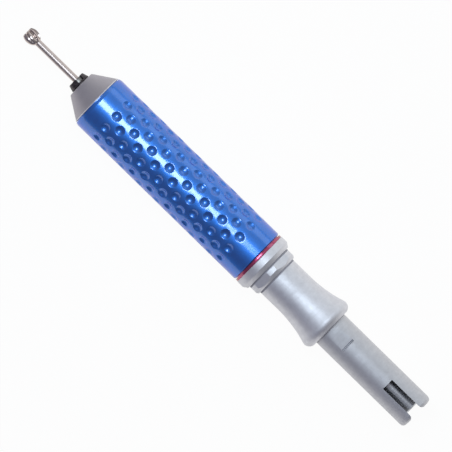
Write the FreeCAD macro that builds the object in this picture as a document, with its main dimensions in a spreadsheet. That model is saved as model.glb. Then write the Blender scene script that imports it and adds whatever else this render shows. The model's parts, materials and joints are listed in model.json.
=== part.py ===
import FreeCAD, Part
import math
import os

import Sketcher

# A straight laboratory handpiece with a slip-joint tail, a twist-open collet chuck and a round bur.
# The axis runs along X: the bur points to -X and the tail to +X, and the tail's detent faces +Z.
# The origin is on the axis, at the seat where the tail leaves the twist sleeve.
# Lengths are in millimetres and angles in degrees.

DRIVING_SIZES = [
    # Gaps and fits
    ("fit_gap", 0.02, "radial gap between two pieces that are fitted tight"),
    ("running_gap", 0.05, "radial gap between two pieces that turn or slide on each other"),
    ("face_gap", 0.1, "gap between end faces that turn or slide past each other"),
    ("ball_gap", 0.03, "gap between a ball and its groove or cage pocket"),
    # Slip-joint tail
    ("tail_length", 40.0, "tail from its seat to its end"),
    ("tail_radius", 6.52, "outside of the tail"),
    ("tail_end_round", 1.4, "rounding of the tail's end"),
    ("tail_wall", 1.5, "wall of the tail round its bearing and drive dog"),
    ("key_slot_length", 13.8, "key slots, from the tail's end"),
    ("key_slot_width", 4.2, "key slots, across"),
    ("key_mouth_round", 1.5, "rounding of the key slots' open corners"),
    ("detent_start", 3.1, "from the seat to the shallow end of the detent ramp"),
    ("detent_length", 5.15, "detent ramp, along the tail"),
    ("detent_depth", 0.56, "step at the deep end of the detent ramp"),
    ("tube_bore_radius", 4.6, "bore of the tail tube round the spindle"),
    ("tube_journal_radius", 6.3, "part of the tail tube that the twist sleeve turns on"),
    ("release_bore_radius", 5.0, "front bore of the tail tube, where the release collar slides"),
    # Twist sleeve
    ("flare_grip_length", 24.3, "twist sleeve from its seat to the twist ring"),
    ("neck_radius", 7.6, "twist sleeve at its slim neck"),
    ("flare_length", 16.5, "flare, from the neck to the seat"),
    ("flare_radius", 9.78, "flare at its widest"),
    ("lip_round", 2.5, "rounding of the flare's lip"),
    ("lip_lead_angle", 16.0, "where the flare runs into its lip"),
    ("lip_wrap_angle", 74.0, "how far the lip turns in towards the tail"),
    ("sleeve_step", 0.1, "step from the neck down to the sleeve's front part"),
    ("sleeve_lip", 0.3, "rim in front of the retaining ring"),
    ("retainer_thickness", 0.8, "retaining ring, along the axis"),
    ("retainer_depth", 0.5, "depth of the retaining ring's groove"),
    ("retainer_height", 0.93, "retaining ring, from its inside to its outside"),
    ("o_ring_back", 5.25, "from the seat to the middle of the sealing ring"),
    ("o_ring_section", 0.55, "radius of the sealing ring's section"),
    # Twist ring and rear collar
    ("twist_ring_length", 3.8, "twist ring, along the axis"),
    ("twist_ring_land", 1.9, "straight part of the twist ring"),
    ("twist_ring_radius", 9.24, "outside of the twist ring"),
    ("twist_gap", 0.6, "groove between twist ring and collar"),
    ("twist_rim_radius", 8.75, "front rim of the twist ring, the floor of that groove"),
    ("collar_length", 4.1, "head of the rear collar"),
    ("collar_land", 2.6, "straight part of the collar's head"),
    ("collar_radius", 10.4, "outside of the rear collar"),
    ("collar_rear_radius", 9.34, "rear collar at the end of its bevel"),
    ("collar_wall", 0.45, "wall of the collar's spigot"),
    ("shoulder_inset", 0.2, "from the collar's head forward to its inner shoulder"),
    ("index_ring_length", 1.1, "red index ring, along the axis"),
    ("index_ring_radius", 10.3, "outside of the index ring"),
    # Grip
    ("grip_length", 73.7, "dimpled grip sleeve"),
    ("grip_radius", 10.33, "outside of the grip sleeve"),
    ("grip_bore_radius", 8.6, "bore of the grip sleeve"),
    ("grip_bevel_length", 1.2, "bevel at the grip's front end"),
    ("grip_bevel_drop", 0.26, "how far that bevel falls"),
    ("grip_rear_bevel", 0.35, "bevel at the grip's rear end"),
    ("pit_first", 8.52, "from the grip's front end to the first ring of pits"),
    ("pit_step", 4.04, "from one ring of pits to the next"),
    ("pit_radius", 1.7, "radius of a pit's rim"),
    ("pit_depth", 0.8, "depth of a pit"),
    ("pit_count", 12, "pits in a ring"),
    ("pit_turn", 85.8, "angle of the first pit from +Y towards +Z"),
    ("pit_rings", 8, "rings of pits in line; the staggered rings between them are one fewer"),
    # Nose
    ("cone_length", 7.5, "nose cone in front of the grip"),
    ("cone_front_radius", 4.98, "front face of the nose cone"),
    ("cone_lip_length", 0.35, "bevelled rim at the cone's rear"),
    ("cone_lip_drop", 0.4, "how far that bevel falls"),
    ("cone_wall", 3.1, "front wall of the nose cone"),
    ("spigot_length", 4.1, "spigot of the nose cone inside the housing"),
    ("seal_pocket_radius", 5.5, "pocket of the nose seal"),
    ("seal_length", 2.0, "nose seal, along the axis"),
    ("seal_web", 0.6, "rubber of the nose seal"),
    ("cap_length", 2.3, "nose cap, along the axis"),
    ("cap_front_radius", 3.05, "nose cap at its front"),
    ("cap_rear_radius", 3.75, "nose cap at its rear"),
    ("cap_lip", 0.4, "front wall of the nose cap"),
    ("cap_mouth_radius", 2.5, "mouth of the nose cap"),
    ("cap_notch_width", 2.3, "spanner notches of the nose cap"),
    ("cap_notch_length", 1.6, "spanner notches, along the axis"),
    ("cap_notch_floor", 2.3, "radius that the notches start from, inside the mouth"),
    ("cap_notch_turn", 72.0, "angle of the first notch from +Y towards +Z"),
    ("cap_notch_count", 2, "spanner notches of the nose cap"),
    # Housing and plug
    ("housing_radius", 8.55, "outside of the spindle housing"),
    ("housing_bore_radius", 6.2, "bore of the housing between the bearings"),
    ("plug_flange_length", 2.25, "flange of the tail plug"),
    ("plug_thread_length", 7.5, "threaded part of the tail plug"),
    ("preload_length", 1.0, "room for the preload washer"),
    ("preload_width", 1.0, "preload washer, from its inside to its outside"),
    # Ball bearings
    ("bearing_bore", 3.5, "bore radius of the two main bearings"),
    ("bearing_outside", 7.0, "outer radius of the two main bearings"),
    ("bearing_width", 5.0, "width of the two main bearings"),
    ("bearing_ball", 1.0, "ball radius of the two main bearings"),
    ("bearing_ball_count", 8, "balls in a main bearing"),
    ("tail_bearing_outside", 5.0, "outer radius of the tail bearing"),
    ("tail_bearing_width", 3.0, "width of the tail bearing"),
    ("tail_bearing_ball", 0.6, "ball radius of the tail bearing"),
    ("tail_bearing_ball_count", 9, "balls in the tail bearing"),
    ("tail_bearing_setback", 7.0, "from the spindle's rear end forward to the tail bearing"),
    ("snap_ring_thickness", 0.8, "snap ring behind the tail bearing"),
    ("snap_ring_depth", 0.28, "depth of the snap ring's groove"),
    ("snap_ring_height", 0.75, "snap ring, from its inside to its outside"),
    ("ring_opening", 2.0, "gap in the split rings"),
    # Spindle
    ("spindle_nose_radius", 3.0, "spindle in the nose cone"),
    ("spindle_tip_radius", 2.75, "spindle inside the nose cap"),
    ("spindle_middle_radius", 4.5, "spindle between the bearings"),
    ("spindle_rear_radius", 3.0, "spindle in the tail"),
    ("spindle_rear_bore", 2.3, "rear bore of the spindle, for spring and dog"),
    ("nose_protrusion", 1.9, "spindle in front of the nose cone"),
    ("spindle_inset", 0.2, "spindle end in front of the closed ends of the key slots"),
    ("spring_shoulder_length", 3.5, "wall in the spindle that the spring stands on"),
    ("clamp_nut_length", 2.5, "bearing nuts, along the axis"),
    ("front_nut_radius", 4.9, "outside of the front bearing nut"),
    ("rear_nut_radius", 4.5, "outside of the rear bearing nut"),
    ("nut_slot_width", 1.2, "spanner slots of the bearing nuts"),
    ("nut_slot_depth", 0.6, "depth of those slots"),
    ("nut_slot_count", 4, "spanner slots in a bearing nut"),
    # Chuck
    ("shank_radius", 1.175, "shank of the bur, 2.35 mm across"),
    ("shank_gap", 0.015, "gap between shank and collet bore"),
    ("collet_wall", 0.81, "wall of the collet"),
    ("collet_protrusion", 0.3, "collet in front of the spindle"),
    ("collet_cone_length", 1.6, "closing cone at the collet's front"),
    ("collet_cone_rise", 0.37, "how far that cone opens"),
    ("collet_slot_width", 0.4, "slots that split the collet into fingers"),
    ("collet_slot_length", 14.0, "length of those slots"),
    ("collet_slot_count", 3, "fingers of the collet"),
    ("shank_grip_length", 21.8, "shank inside the collet"),
    ("collet_thread_length", 5.4, "rear of the collet, screwed to the drawbar"),
    ("chuck_travel", 1.2, "how far the collet moves to open"),
    ("travel_room", 0.3, "spare room behind the collet"),
    ("drawbar_radius", 1.5, "drawbar through the spring"),
    ("drawbar_stub_radius", 0.98, "threaded end of the drawbar in the collet"),
    ("drawbar_overhang", 2.6, "drawbar behind its cross pin"),
    ("draw_pin_radius", 0.6, "cross pin of the drawbar"),
    ("draw_ring_length", 3.0, "ring on the spindle that the release collar pushes"),
    ("draw_ring_radius", 4.6, "outside of that ring"),
    ("spring_length", 35.0, "collet spring as fitted"),
    ("spring_turns", 8.0, "turns of the collet spring"),
    ("spring_wire_width", 0.5, "spring wire across the axis"),
    ("spring_wire_length", 0.6, "spring wire along the axis"),
    ("spring_nut_length", 3.0, "nut on the drawbar that the spring pushes"),
    # Release
    ("twist_angle", 60.0, "turn of the twist sleeve from closed to open"),
    ("cam_pin_radius", 1.0, "cam pins"),
    ("cam_gap", 0.08, "gap between a cam pin and its slots"),
    ("cam_pin_inset", 1.5, "cam pins in front of the collar's rear face"),
    ("cam_pin_to_face", 1.8, "cam pins behind the release collar's face"),
    ("release_length", 5.0, "release collar, along the axis"),
    ("release_inner_radius", 3.3, "bore of the release collar"),
    ("release_room", 0.5, "spare room behind the release collar"),
    # Drive dog
    ("dog_radius", 3.1, "drive dog"),
    ("dog_inset", 2.45, "end of the dog inside the tail's end"),
    ("dog_shank_length", 8.0, "dog inside the spindle"),
    ("dog_slot_width", 1.7, "cross slot that the shaft's blade drives"),
    ("dog_slot_depth", 6.0, "depth of the cross slot"),
    ("dog_bevel", 0.4, "bevel on the dog's end"),
    ("dog_pin_setback", 1.5, "cross pin in front of the spindle's rear end"),
    ("dog_pin_radius", 0.6, "cross pin of the drive dog"),
    # Bur
    ("bur_length", 44.5, "whole bur, tip to end"),
    ("shank_bevel", 0.24, "bevel at the shank's end"),
    ("bur_head_length", 5.1, "head of the bur"),
    ("bur_head_radius", 2.56, "head of the bur at its widest"),
    ("bur_widest", 2.7, "from the tip to the widest place"),
    ("bur_face_radius", 1.8, "blunt front face of the head"),
    ("bur_face_bevel", 0.25, "bevel round that face"),
    ("flute_count", 8, "flutes in the head"),
    ("flute_floor", 1.85, "radius of the bottom of the flutes"),
]

# Shares of a ball's radius in every bearing: the height of the ring shoulders, and half of the cage's
# width and height
BALL_SHOULDER = 0.6
CAGE_HALF_WIDTH = 1.35
CAGE_HALF_HEIGHT = 0.3

# How far a cutter reaches past the faces that it cuts
OVERHANG = 1.0

# A pit's cutter is this much of a ball, wide enough for the pit and clear of the bore's far side
PIT_WEDGE = 130.0

# Lean and half opening of the bur's flutes
FLUTE_TILT = 14.0
FLUTE_OPENING = 45.0

# Turns a primitive's upright axis to X; inside a body, where primitives stand along X, it turns it to Y
TO_X = FreeCAD.Rotation(FreeCAD.Vector(0, 0, 1), FreeCAD.Vector(1, 0, 0))

document = FreeCAD.newDocument("Handpiece")
sheet = document.addObject("Spreadsheet::Sheet", "Sizes")
node_objects = []


class Size:
    """A number together with the sheet expression that gives it."""

    def __init__(self, value, text=None):
        self.value = float(value)
        self.text = text or f"({float(value)})"

    def __add__(self, other):
        other = as_size(other)
        return Size(self.value + other.value, f"({self.text} + {other.text})")

    def __radd__(self, other):
        return as_size(other) + self

    def __sub__(self, other):
        other = as_size(other)
        return Size(self.value - other.value, f"({self.text} - {other.text})")

    def __rsub__(self, other):
        return as_size(other) - self

    def __mul__(self, other):
        other = as_size(other)
        return Size(self.value * other.value, f"({self.text} * {other.text})")

    def __rmul__(self, other):
        return as_size(other) * self

    def __truediv__(self, other):
        other = as_size(other)
        return Size(self.value / other.value, f"({self.text} / {other.text})")

    def __rtruediv__(self, other):
        return as_size(other) / self

    def __neg__(self):
        return 0 - self


def as_size(number):
    return number if isinstance(number, Size) else Size(number)


def root(size):
    return Size(math.sqrt(size.value), f"sqrt({size.text})")


def sine(angle):
    angle = as_size(angle)
    return Size(math.sin(math.radians(angle.value)), f"sin({angle.text})")


def cosine(angle):
    angle = as_size(angle)
    return Size(math.cos(math.radians(angle.value)), f"cos({angle.text})")


def arcsine(ratio):
    return Size(math.degrees(math.asin(ratio.value)), f"(asin({ratio.text}) / 1deg)")


def tangent_arc_radius(run, rise):
    """Radius of an arc that starts along the axis and gains `rise` over `run`."""
    return (run * run + rise * rise) / (2 * rise)


class Sizes:
    """The sheet's driving sizes, by name."""

    def __init__(self, rows):
        for row, (name, value, meaning) in enumerate(rows, start=1):
            sheet.set(f"A{row}", name)
            sheet.set(f"B{row}", str(value))
            sheet.set(f"C{row}", meaning)
            sheet.setAlias(f"B{row}", name)
            setattr(self, name, Size(value, f"Sizes.{name}"))
        document.recompute()


S = Sizes(DRIVING_SIZES)


def bind(feature, **values):
    """Bind properties to the sheet; a double underscore stands for a dot."""
    for key, value in values.items():
        feature.setExpression(key.replace("__", "."), as_size(value).text)


def origin_part(body, role):
    return next(part for part in body.Origin.OriginFeatures if part.Role == role)


def new_body(name, start):
    body = document.addObject("PartDesign::Body", name)
    body.Label = name
    bind(body, Placement__Base__x=start)
    node_objects.append(body)
    return body


def new_sketch(body, name, plane="XZ_Plane"):
    sketch = body.newObject("Sketcher::SketchObject", name)
    sketch.AttachmentSupport = [(origin_part(body, plane), "")]
    sketch.MapMode = "FlatFace"
    return sketch


def arc_between(start, end, radius, side):
    """The minor arc from start to end, and whether it runs backwards; side 1 puts its centre outward."""
    chord = end - start
    reach = math.sqrt(max(radius * radius - (chord.Length / 2) ** 2, 0.0))
    normal = FreeCAD.Vector(-chord.y, chord.x, 0).normalize()
    if normal.y * side < 0:
        normal = -normal
    centre = (start + end) * 0.5 + normal * reach
    angles = [math.atan2((p - centre).y, (p - centre).x) for p in (start, end)]
    turn = (angles[1] - angles[0] + math.pi) % (2 * math.pi) - math.pi
    backwards = turn < 0
    if backwards:
        angles.reverse()
    circle = Part.Circle(centre, FreeCAD.Vector(0, 0, 1), radius)
    return Part.ArcOfCircle(circle, angles[0], angles[0] + abs(turn)), backwards


def draw_outline(sketch, corners):
    """Draw a closed outline through (along, out) corners, each bound to the sheet.

    A corner with a radius and a side after it is reached by an arc instead of a line.
    """
    corners = [tuple(as_size(value) for value in corner[:2]) + corner[2:] for corner in corners]
    points = [FreeCAD.Vector(corner[0].value, corner[1].value, 0) for corner in corners]
    first_and_last = []
    radii = []
    for index, start in enumerate(points):
        following = (index + 1) % len(points)
        end = points[following]
        if len(corners[following]) == 4:
            radius = as_size(corners[following][2])
            arc, backwards = arc_between(start, end, radius.value, corners[following][3])
            edge = sketch.addGeometry(arc, False)
            first_and_last.append((2, 1) if backwards else (1, 2))
            radii.append((edge, radius))
        else:
            sketch.addGeometry(Part.LineSegment(start, end), False)
            first_and_last.append((1, 2))
    for index, corner in enumerate(corners):
        following = (index + 1) % len(corners)
        join = (index, first_and_last[index][1], following, first_and_last[following][0])
        sketch.addConstraint(Sketcher.Constraint("Coincident", *join))
        for axis, (kind, size) in {-2: ("DistanceX", corner[0]), -1: ("DistanceY", corner[1])}.items():
            corner_point = (index, first_and_last[index][0])
            if size.value == 0:
                sketch.addConstraint(Sketcher.Constraint("PointOnObject", *corner_point, axis))
                continue
            rule = Sketcher.Constraint(kind, -1, 1, *corner_point, size.value)
            number = sketch.addConstraint(rule)
            sketch.setExpression(f"Constraints[{number}]", size.text)
    for edge, radius in radii:
        number = sketch.addConstraint(Sketcher.Constraint("Radius", edge, radius.value))
        sketch.setExpression(f"Constraints[{number}]", radius.text)


def turned(name, start, corners):
    """A piece turned about the axis, from its outline measured from its own front end."""
    body = new_body(name, start)
    sketch = new_sketch(body, f"{name}_outline")
    draw_outline(sketch, corners)
    turning = body.newObject("PartDesign::Revolution", f"{name}_turning")
    turning.Profile = (sketch, [""])
    turning.ReferenceAxis = (sketch, ["H_Axis"])
    turning.Angle = 360
    return body


def plain_ring(name, start, length, inner, outer):
    return turned(name, start, [(0, inner), (0, outer), (length, outer), (length, inner)])


def place_feature(body, feature, along, across, up, rotation=None):
    """Put a primitive in a body's frame: across is Y and up is Z."""
    feature.AttachmentSupport = [(origin_part(body, "YZ_Plane"), "")]
    feature.MapMode = "FlatFace"
    feature.AttachmentOffset = FreeCAD.Placement(FreeCAD.Vector(), rotation or FreeCAD.Rotation())
    bind(
        feature,
        AttachmentOffset__Base__x=across,
        AttachmentOffset__Base__y=up,
        AttachmentOffset__Base__z=along,
    )


def cut_box(body, name, along, length, across, width, up, height):
    """Cut a box that starts at (along, across, up)."""
    box = body.newObject("PartDesign::SubtractiveBox", name)
    bind(box, Height=length, Length=width, Width=height)
    place_feature(body, box, along, across, up)
    return box


def drill_across(body, name, along, radius, surface):
    """Drill a hole right across the axis, along Y, through a piece with that outer radius."""
    reach = surface + OVERHANG
    hole = body.newObject("PartDesign::SubtractiveCylinder", name)
    bind(hole, Radius=radius, Height=2 * reach)
    place_feature(body, hole, along, -reach, 0, TO_X)
    return hole


def repeat_round(body, feature, count):
    """Repeat a feature evenly round the axis."""
    pattern = body.newObject("PartDesign::PolarPattern", f"{feature.Name}_round")
    pattern.Originals = [feature]
    pattern.Axis = (origin_part(body, "X_Axis"), [""])
    pattern.Angle = 360
    bind(pattern, Occurrences=count)
    body.Tip = pattern
    return pattern


def cut_slot_across(body, name, first, last, half_width, surface):
    """Mill a round-ended slot right across the axis, along Y, with its round ends at first and last."""
    sketch = new_sketch(body, f"{name}_outline")
    draw_outline(
        sketch,
        [
            (first, half_width, half_width, -1),
            (last, half_width),
            (last + half_width, 0, half_width, -1),
            (last, -half_width, half_width, 1),
            (first, -half_width),
            (first - half_width, 0, half_width, 1),
        ],
    )
    return pocket_across(body, name, sketch, surface)


def pocket_across(body, name, sketch, surface):
    """Cut a sketch right through a piece with that outer radius, to both sides of the sketch's plane."""
    pocket = body.newObject("PartDesign::Pocket", name)
    pocket.Profile = (sketch, [""])
    pocket.Midplane = True
    bind(pocket, Length=2 * (surface + OVERHANG))
    return pocket


def pin_along_y(name, along, radius, low, high):
    """A straight pin along Y, from low to high."""
    pin = document.addObject("Part::Cylinder", name)
    bind(pin, Radius=radius, Height=high - low)
    pin.Placement.Rotation = FreeCAD.Rotation(FreeCAD.Vector(0, 0, 1), FreeCAD.Vector(0, 1, 0))
    bind(pin, Placement__Base__x=along, Placement__Base__y=low)
    return pin


def group(name, members):
    """Several like pieces that share one node."""
    compound = document.addObject("Part::Compound", name)
    compound.Label = name
    compound.Links = members
    node_objects.append(compound)
    return compound


def ball_bearing(name, start, bore, outside, width, ball, count):
    """A deep-groove ball bearing: two rings, a cage and its balls."""
    pitch = (bore + outside) / 2
    groove = ball + S.ball_gap
    shoulder = BALL_SHOULDER * ball
    half_groove = root(groove * groove - shoulder * shoulder)
    middle = width / 2
    outer_ring = (outside, pitch + shoulder, -1)
    inner_ring = (bore + S.fit_gap, pitch - shoulder, 1)
    for ring, (back, face, side) in {"outer": outer_ring, "inner": inner_ring}.items():
        turned(
            f"{name}_{ring}_ring",
            start,
            [
                (0, back),
                (0, face),
                (middle - half_groove, face),
                (middle + half_groove, face, groove, side),
                (width, face),
                (width, back),
            ],
        )
    cage_half_width = CAGE_HALF_WIDTH * ball
    cage_half_height = CAGE_HALF_HEIGHT * ball
    cage_front = start + middle - cage_half_width
    cage = plain_ring(
        f"{name}_cage", cage_front, 2 * cage_half_width, pitch - cage_half_height, pitch + cage_half_height
    )
    pocket = cage.newObject("PartDesign::SubtractiveSphere", f"{name}_cage_pocket")
    bind(pocket, Radius=groove)
    place_feature(cage, pocket, cage_half_width, pitch, 0, TO_X)
    repeat_round(cage, pocket, count)
    balls = []
    for index in range(int(count.value)):
        sphere = document.addObject("Part::Sphere", f"{name}_ball_{index + 1}")
        angle = 360 * index / count
        bind(
            sphere,
            Radius=ball,
            Placement__Base__x=start + middle,
            Placement__Base__y=pitch * cosine(angle),
            Placement__Base__z=pitch * sine(angle),
        )
        balls.append(sphere)
    group(f"{name}_balls", balls)


# Stations along the axis, from the tail's seat forward
sleeve_rear = -S.face_gap
ring_rear = -S.flare_grip_length
ring_front = ring_rear - S.twist_ring_length
collar_rear = ring_front - S.twist_gap
collar_front = collar_rear - S.collar_length
grip_rear = collar_front - S.index_ring_length
grip_front = grip_rear - S.grip_length
cone_front = grip_front - S.cone_length
collar_shoulder = collar_front - S.shoulder_inset
retainer_rear = collar_shoulder - S.running_gap
retainer_front = retainer_rear - S.retainer_thickness
sleeve_front = retainer_front - S.sleeve_lip
plug_rear = sleeve_front - S.face_gap
housing_rear = plug_rear - S.plug_flange_length
plug_front = housing_rear - S.plug_thread_length
rear_bearing_rear = plug_front - S.preload_length
rear_bearing_front = rear_bearing_rear - S.bearing_width
front_bearing_front = grip_front + S.spigot_length
front_bearing_rear = front_bearing_front + S.bearing_width
housing_front = grip_front + S.face_gap

# Stations of the release and the chuck
cam_pin_at = collar_rear - S.cam_pin_inset
release_front = cam_pin_at - S.cam_pin_to_face
release_rear = release_front + S.release_length
draw_ring_front = release_front - S.face_gap - S.draw_ring_length
draw_pin_at = draw_ring_front + S.draw_ring_length / 2
spindle_front = cone_front - S.nose_protrusion
collet_front = spindle_front - S.collet_protrusion
bur_end = collet_front + S.shank_grip_length
bur_tip = bur_end - S.bur_length
shank_front = bur_tip + S.bur_head_length
bur_stop = bur_end + S.face_gap
collet_rear = bur_stop + S.collet_thread_length
spring_shoulder_front = collet_rear + S.chuck_travel + S.travel_room
spring_front = spring_shoulder_front + S.spring_shoulder_length
spring_nut_front = spring_front + S.spring_length
cap_rear = cone_front - S.face_gap
cap_front = cap_rear - S.cap_length

# Stations in the tail
spindle_rear = S.tail_length - S.key_slot_length - S.spindle_inset
tail_bearing_front = spindle_rear - S.tail_bearing_setback
snap_ring_front = tail_bearing_front + S.tail_bearing_width
dog_rear = S.tail_length - S.dog_inset
dog_front = spindle_rear - S.dog_shank_length
dog_pin_at = spindle_rear - S.dog_pin_setback

# Radii that fitted pieces share
housing_pocket_radius = S.bearing_outside + S.fit_gap
sleeve_journal_radius = S.neck_radius - S.sleeve_step
sleeve_bore_radius = S.tube_journal_radius + S.running_gap
spigot_radius = S.grip_bore_radius - S.running_gap
collar_bore_radius = spigot_radius - S.collar_wall
tail_bore_radius = S.tail_radius - S.tail_wall
collet_bore_radius = S.shank_radius + S.shank_gap
collet_radius = collet_bore_radius + S.collet_wall
spindle_front_bore = collet_radius + S.running_gap
groove_floor_radius = sleeve_journal_radius - S.retainer_depth
snap_groove_radius = tail_bore_radius + S.snap_ring_depth


def nose():
    """Nose cone with its seal, and the cap on the spindle's tip."""
    lip_start = S.cone_length - S.cone_lip_length
    lip_radius = S.grip_radius - S.grip_bevel_drop
    bore = S.spindle_nose_radius + S.face_gap
    spigot_end = S.cone_length + S.spigot_length
    turned(
        "nose_cone",
        cone_front,
        [
            (0, bore),
            (0, S.cone_front_radius),
            (lip_start, lip_radius - S.cone_lip_drop),
            (S.cone_length, lip_radius),
            (S.cone_length, S.bearing_outside),
            (spigot_end, S.bearing_outside),
            (spigot_end, S.seal_pocket_radius),
            (S.cone_wall, S.seal_pocket_radius),
            (S.cone_wall, bore),
        ],
    )
    lip = S.spindle_nose_radius + S.running_gap
    rim = S.seal_pocket_radius - S.fit_gap
    web = S.seal_web
    turned(
        "nose_seal",
        cone_front + S.cone_wall,
        [
            (0, lip + web),
            (0, rim),
            (S.seal_length, rim),
            (S.seal_length, rim - web),
            (web, rim - web),
            (web, lip + 2 * web),
            (2 * web, lip),
            (web, lip),
        ],
    )
    thread = S.spindle_tip_radius + S.fit_gap
    cap = turned(
        "nose_cap",
        cap_front,
        [
            (0, S.cap_mouth_radius),
            (0, S.cap_front_radius),
            (S.cap_length, S.cap_rear_radius),
            (S.cap_length, thread),
            (S.cap_lip, thread),
            (S.cap_lip, S.cap_mouth_radius),
        ],
    )
    turn = S.cap_notch_turn
    half_notch = S.cap_notch_width / 2
    notch = cut_box(
        cap,
        "nose_cap_notch",
        0,
        S.cap_notch_length,
        S.cap_notch_floor * cosine(turn) + half_notch * sine(turn),
        S.cap_rear_radius,
        S.cap_notch_floor * sine(turn) - half_notch * cosine(turn),
        S.cap_notch_width,
    )
    bind(notch, AttachmentOffset__Rotation__Angle=turn)
    repeat_round(cap, notch, S.cap_notch_count)


def grip():
    """Grip sleeve with its staggered rings of round pits."""
    bevel_radius = S.grip_radius - S.grip_bevel_drop
    body = turned(
        "grip_sleeve",
        grip_front,
        [
            (0, S.grip_bore_radius),
            (0, bevel_radius),
            (S.grip_bevel_length, S.grip_radius),
            (S.grip_length - S.grip_rear_bevel, S.grip_radius),
            (S.grip_length, S.grip_radius - S.grip_rear_bevel),
            (S.grip_length, S.grip_bore_radius),
        ],
    )
    half_turn = 180 / S.pit_count
    cut_pit_rings(body, "pits_in_line", S.pit_first, S.pit_turn, S.pit_rings)
    staggered_first = S.pit_first + S.pit_step
    cut_pit_rings(body, "pits_staggered", staggered_first, S.pit_turn + half_turn, S.pit_rings - 1)
    plain_ring("index_ring", grip_rear, S.index_ring_length, spigot_radius + S.fit_gap, S.index_ring_radius)


def cut_pit_rings(body, name, first, turn, rings):
    """Cut every second ring of pits with one ball-shaped cutter, repeated round and along the grip."""
    ball = (S.pit_radius * S.pit_radius + S.pit_depth * S.pit_depth) / (2 * S.pit_depth)
    centre = S.grip_radius - S.pit_depth + ball
    pit = body.newObject("PartDesign::SubtractiveSphere", name)
    pit.Angle3 = PIT_WEDGE
    bind(pit, Radius=ball)
    place_feature(body, pit, first, centre * cosine(turn), centre * sine(turn))
    bind(pit, AttachmentOffset__Rotation__Angle=turn + 180 - PIT_WEDGE / 2)
    pit_round = document.addObject("PartDesign::PolarPattern", f"{name}_round")
    pit_round.Axis = (origin_part(body, "X_Axis"), [""])
    pit_round.Angle = 360
    bind(pit_round, Occurrences=S.pit_count)
    pit_along = document.addObject("PartDesign::LinearPattern", f"{name}_along")
    pit_along.Direction = (origin_part(body, "X_Axis"), [""])
    bind(pit_along, Length=2 * S.pit_step * (rings - 1), Occurrences=rings)
    pattern = body.newObject("PartDesign::MultiTransform", f"{name}_pattern")
    pattern.Originals = [pit]
    pattern.Transformations = [pit_round, pit_along]
    pattern.Refine = False
    body.Tip = pattern


def housing():
    """Spindle housing, tail plug and preload washer inside the grip."""
    length = housing_rear - housing_front
    front_shoulder = front_bearing_rear - housing_front
    rear_shoulder = rear_bearing_front - housing_front
    turned(
        "spindle_housing",
        housing_front,
        [
            (0, housing_pocket_radius),
            (0, S.housing_radius),
            (length, S.housing_radius),
            (length, housing_pocket_radius),
            (rear_shoulder, housing_pocket_radius),
            (rear_shoulder, S.housing_bore_radius),
            (front_shoulder, S.housing_bore_radius),
            (front_shoulder, housing_pocket_radius),
        ],
    )
    bore = S.tube_journal_radius + S.fit_gap
    plug_length = S.plug_thread_length + S.plug_flange_length
    flange_radius = collar_bore_radius - S.running_gap
    turned(
        "tail_plug",
        plug_front,
        [
            (0, bore),
            (0, S.bearing_outside),
            (S.plug_thread_length, S.bearing_outside),
            (S.plug_thread_length, flange_radius),
            (plug_length, flange_radius),
            (plug_length, bore),
        ],
    )
    washer_outside = S.bearing_outside - S.running_gap
    washer_inside = washer_outside - S.preload_width
    plain_ring("preload_washer", rear_bearing_rear, S.preload_length, washer_inside, washer_outside)


def rear_collar():
    """Collar behind the grip; its spigot holds the index ring and traps the twist sleeve."""
    head = collar_front - housing_rear
    land_end = head + S.collar_land
    rear = head + S.collar_length
    shoulder = collar_shoulder - housing_rear
    bore = sleeve_journal_radius + S.face_gap
    turned(
        "rear_collar",
        housing_rear,
        [
            (0, collar_bore_radius),
            (0, spigot_radius),
            (head, spigot_radius),
            (head, S.collar_radius),
            (land_end, S.collar_radius),
            (rear, S.collar_rear_radius),
            (rear, bore),
            (shoulder, bore),
            (shoulder, collar_bore_radius),
        ],
    )


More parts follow.
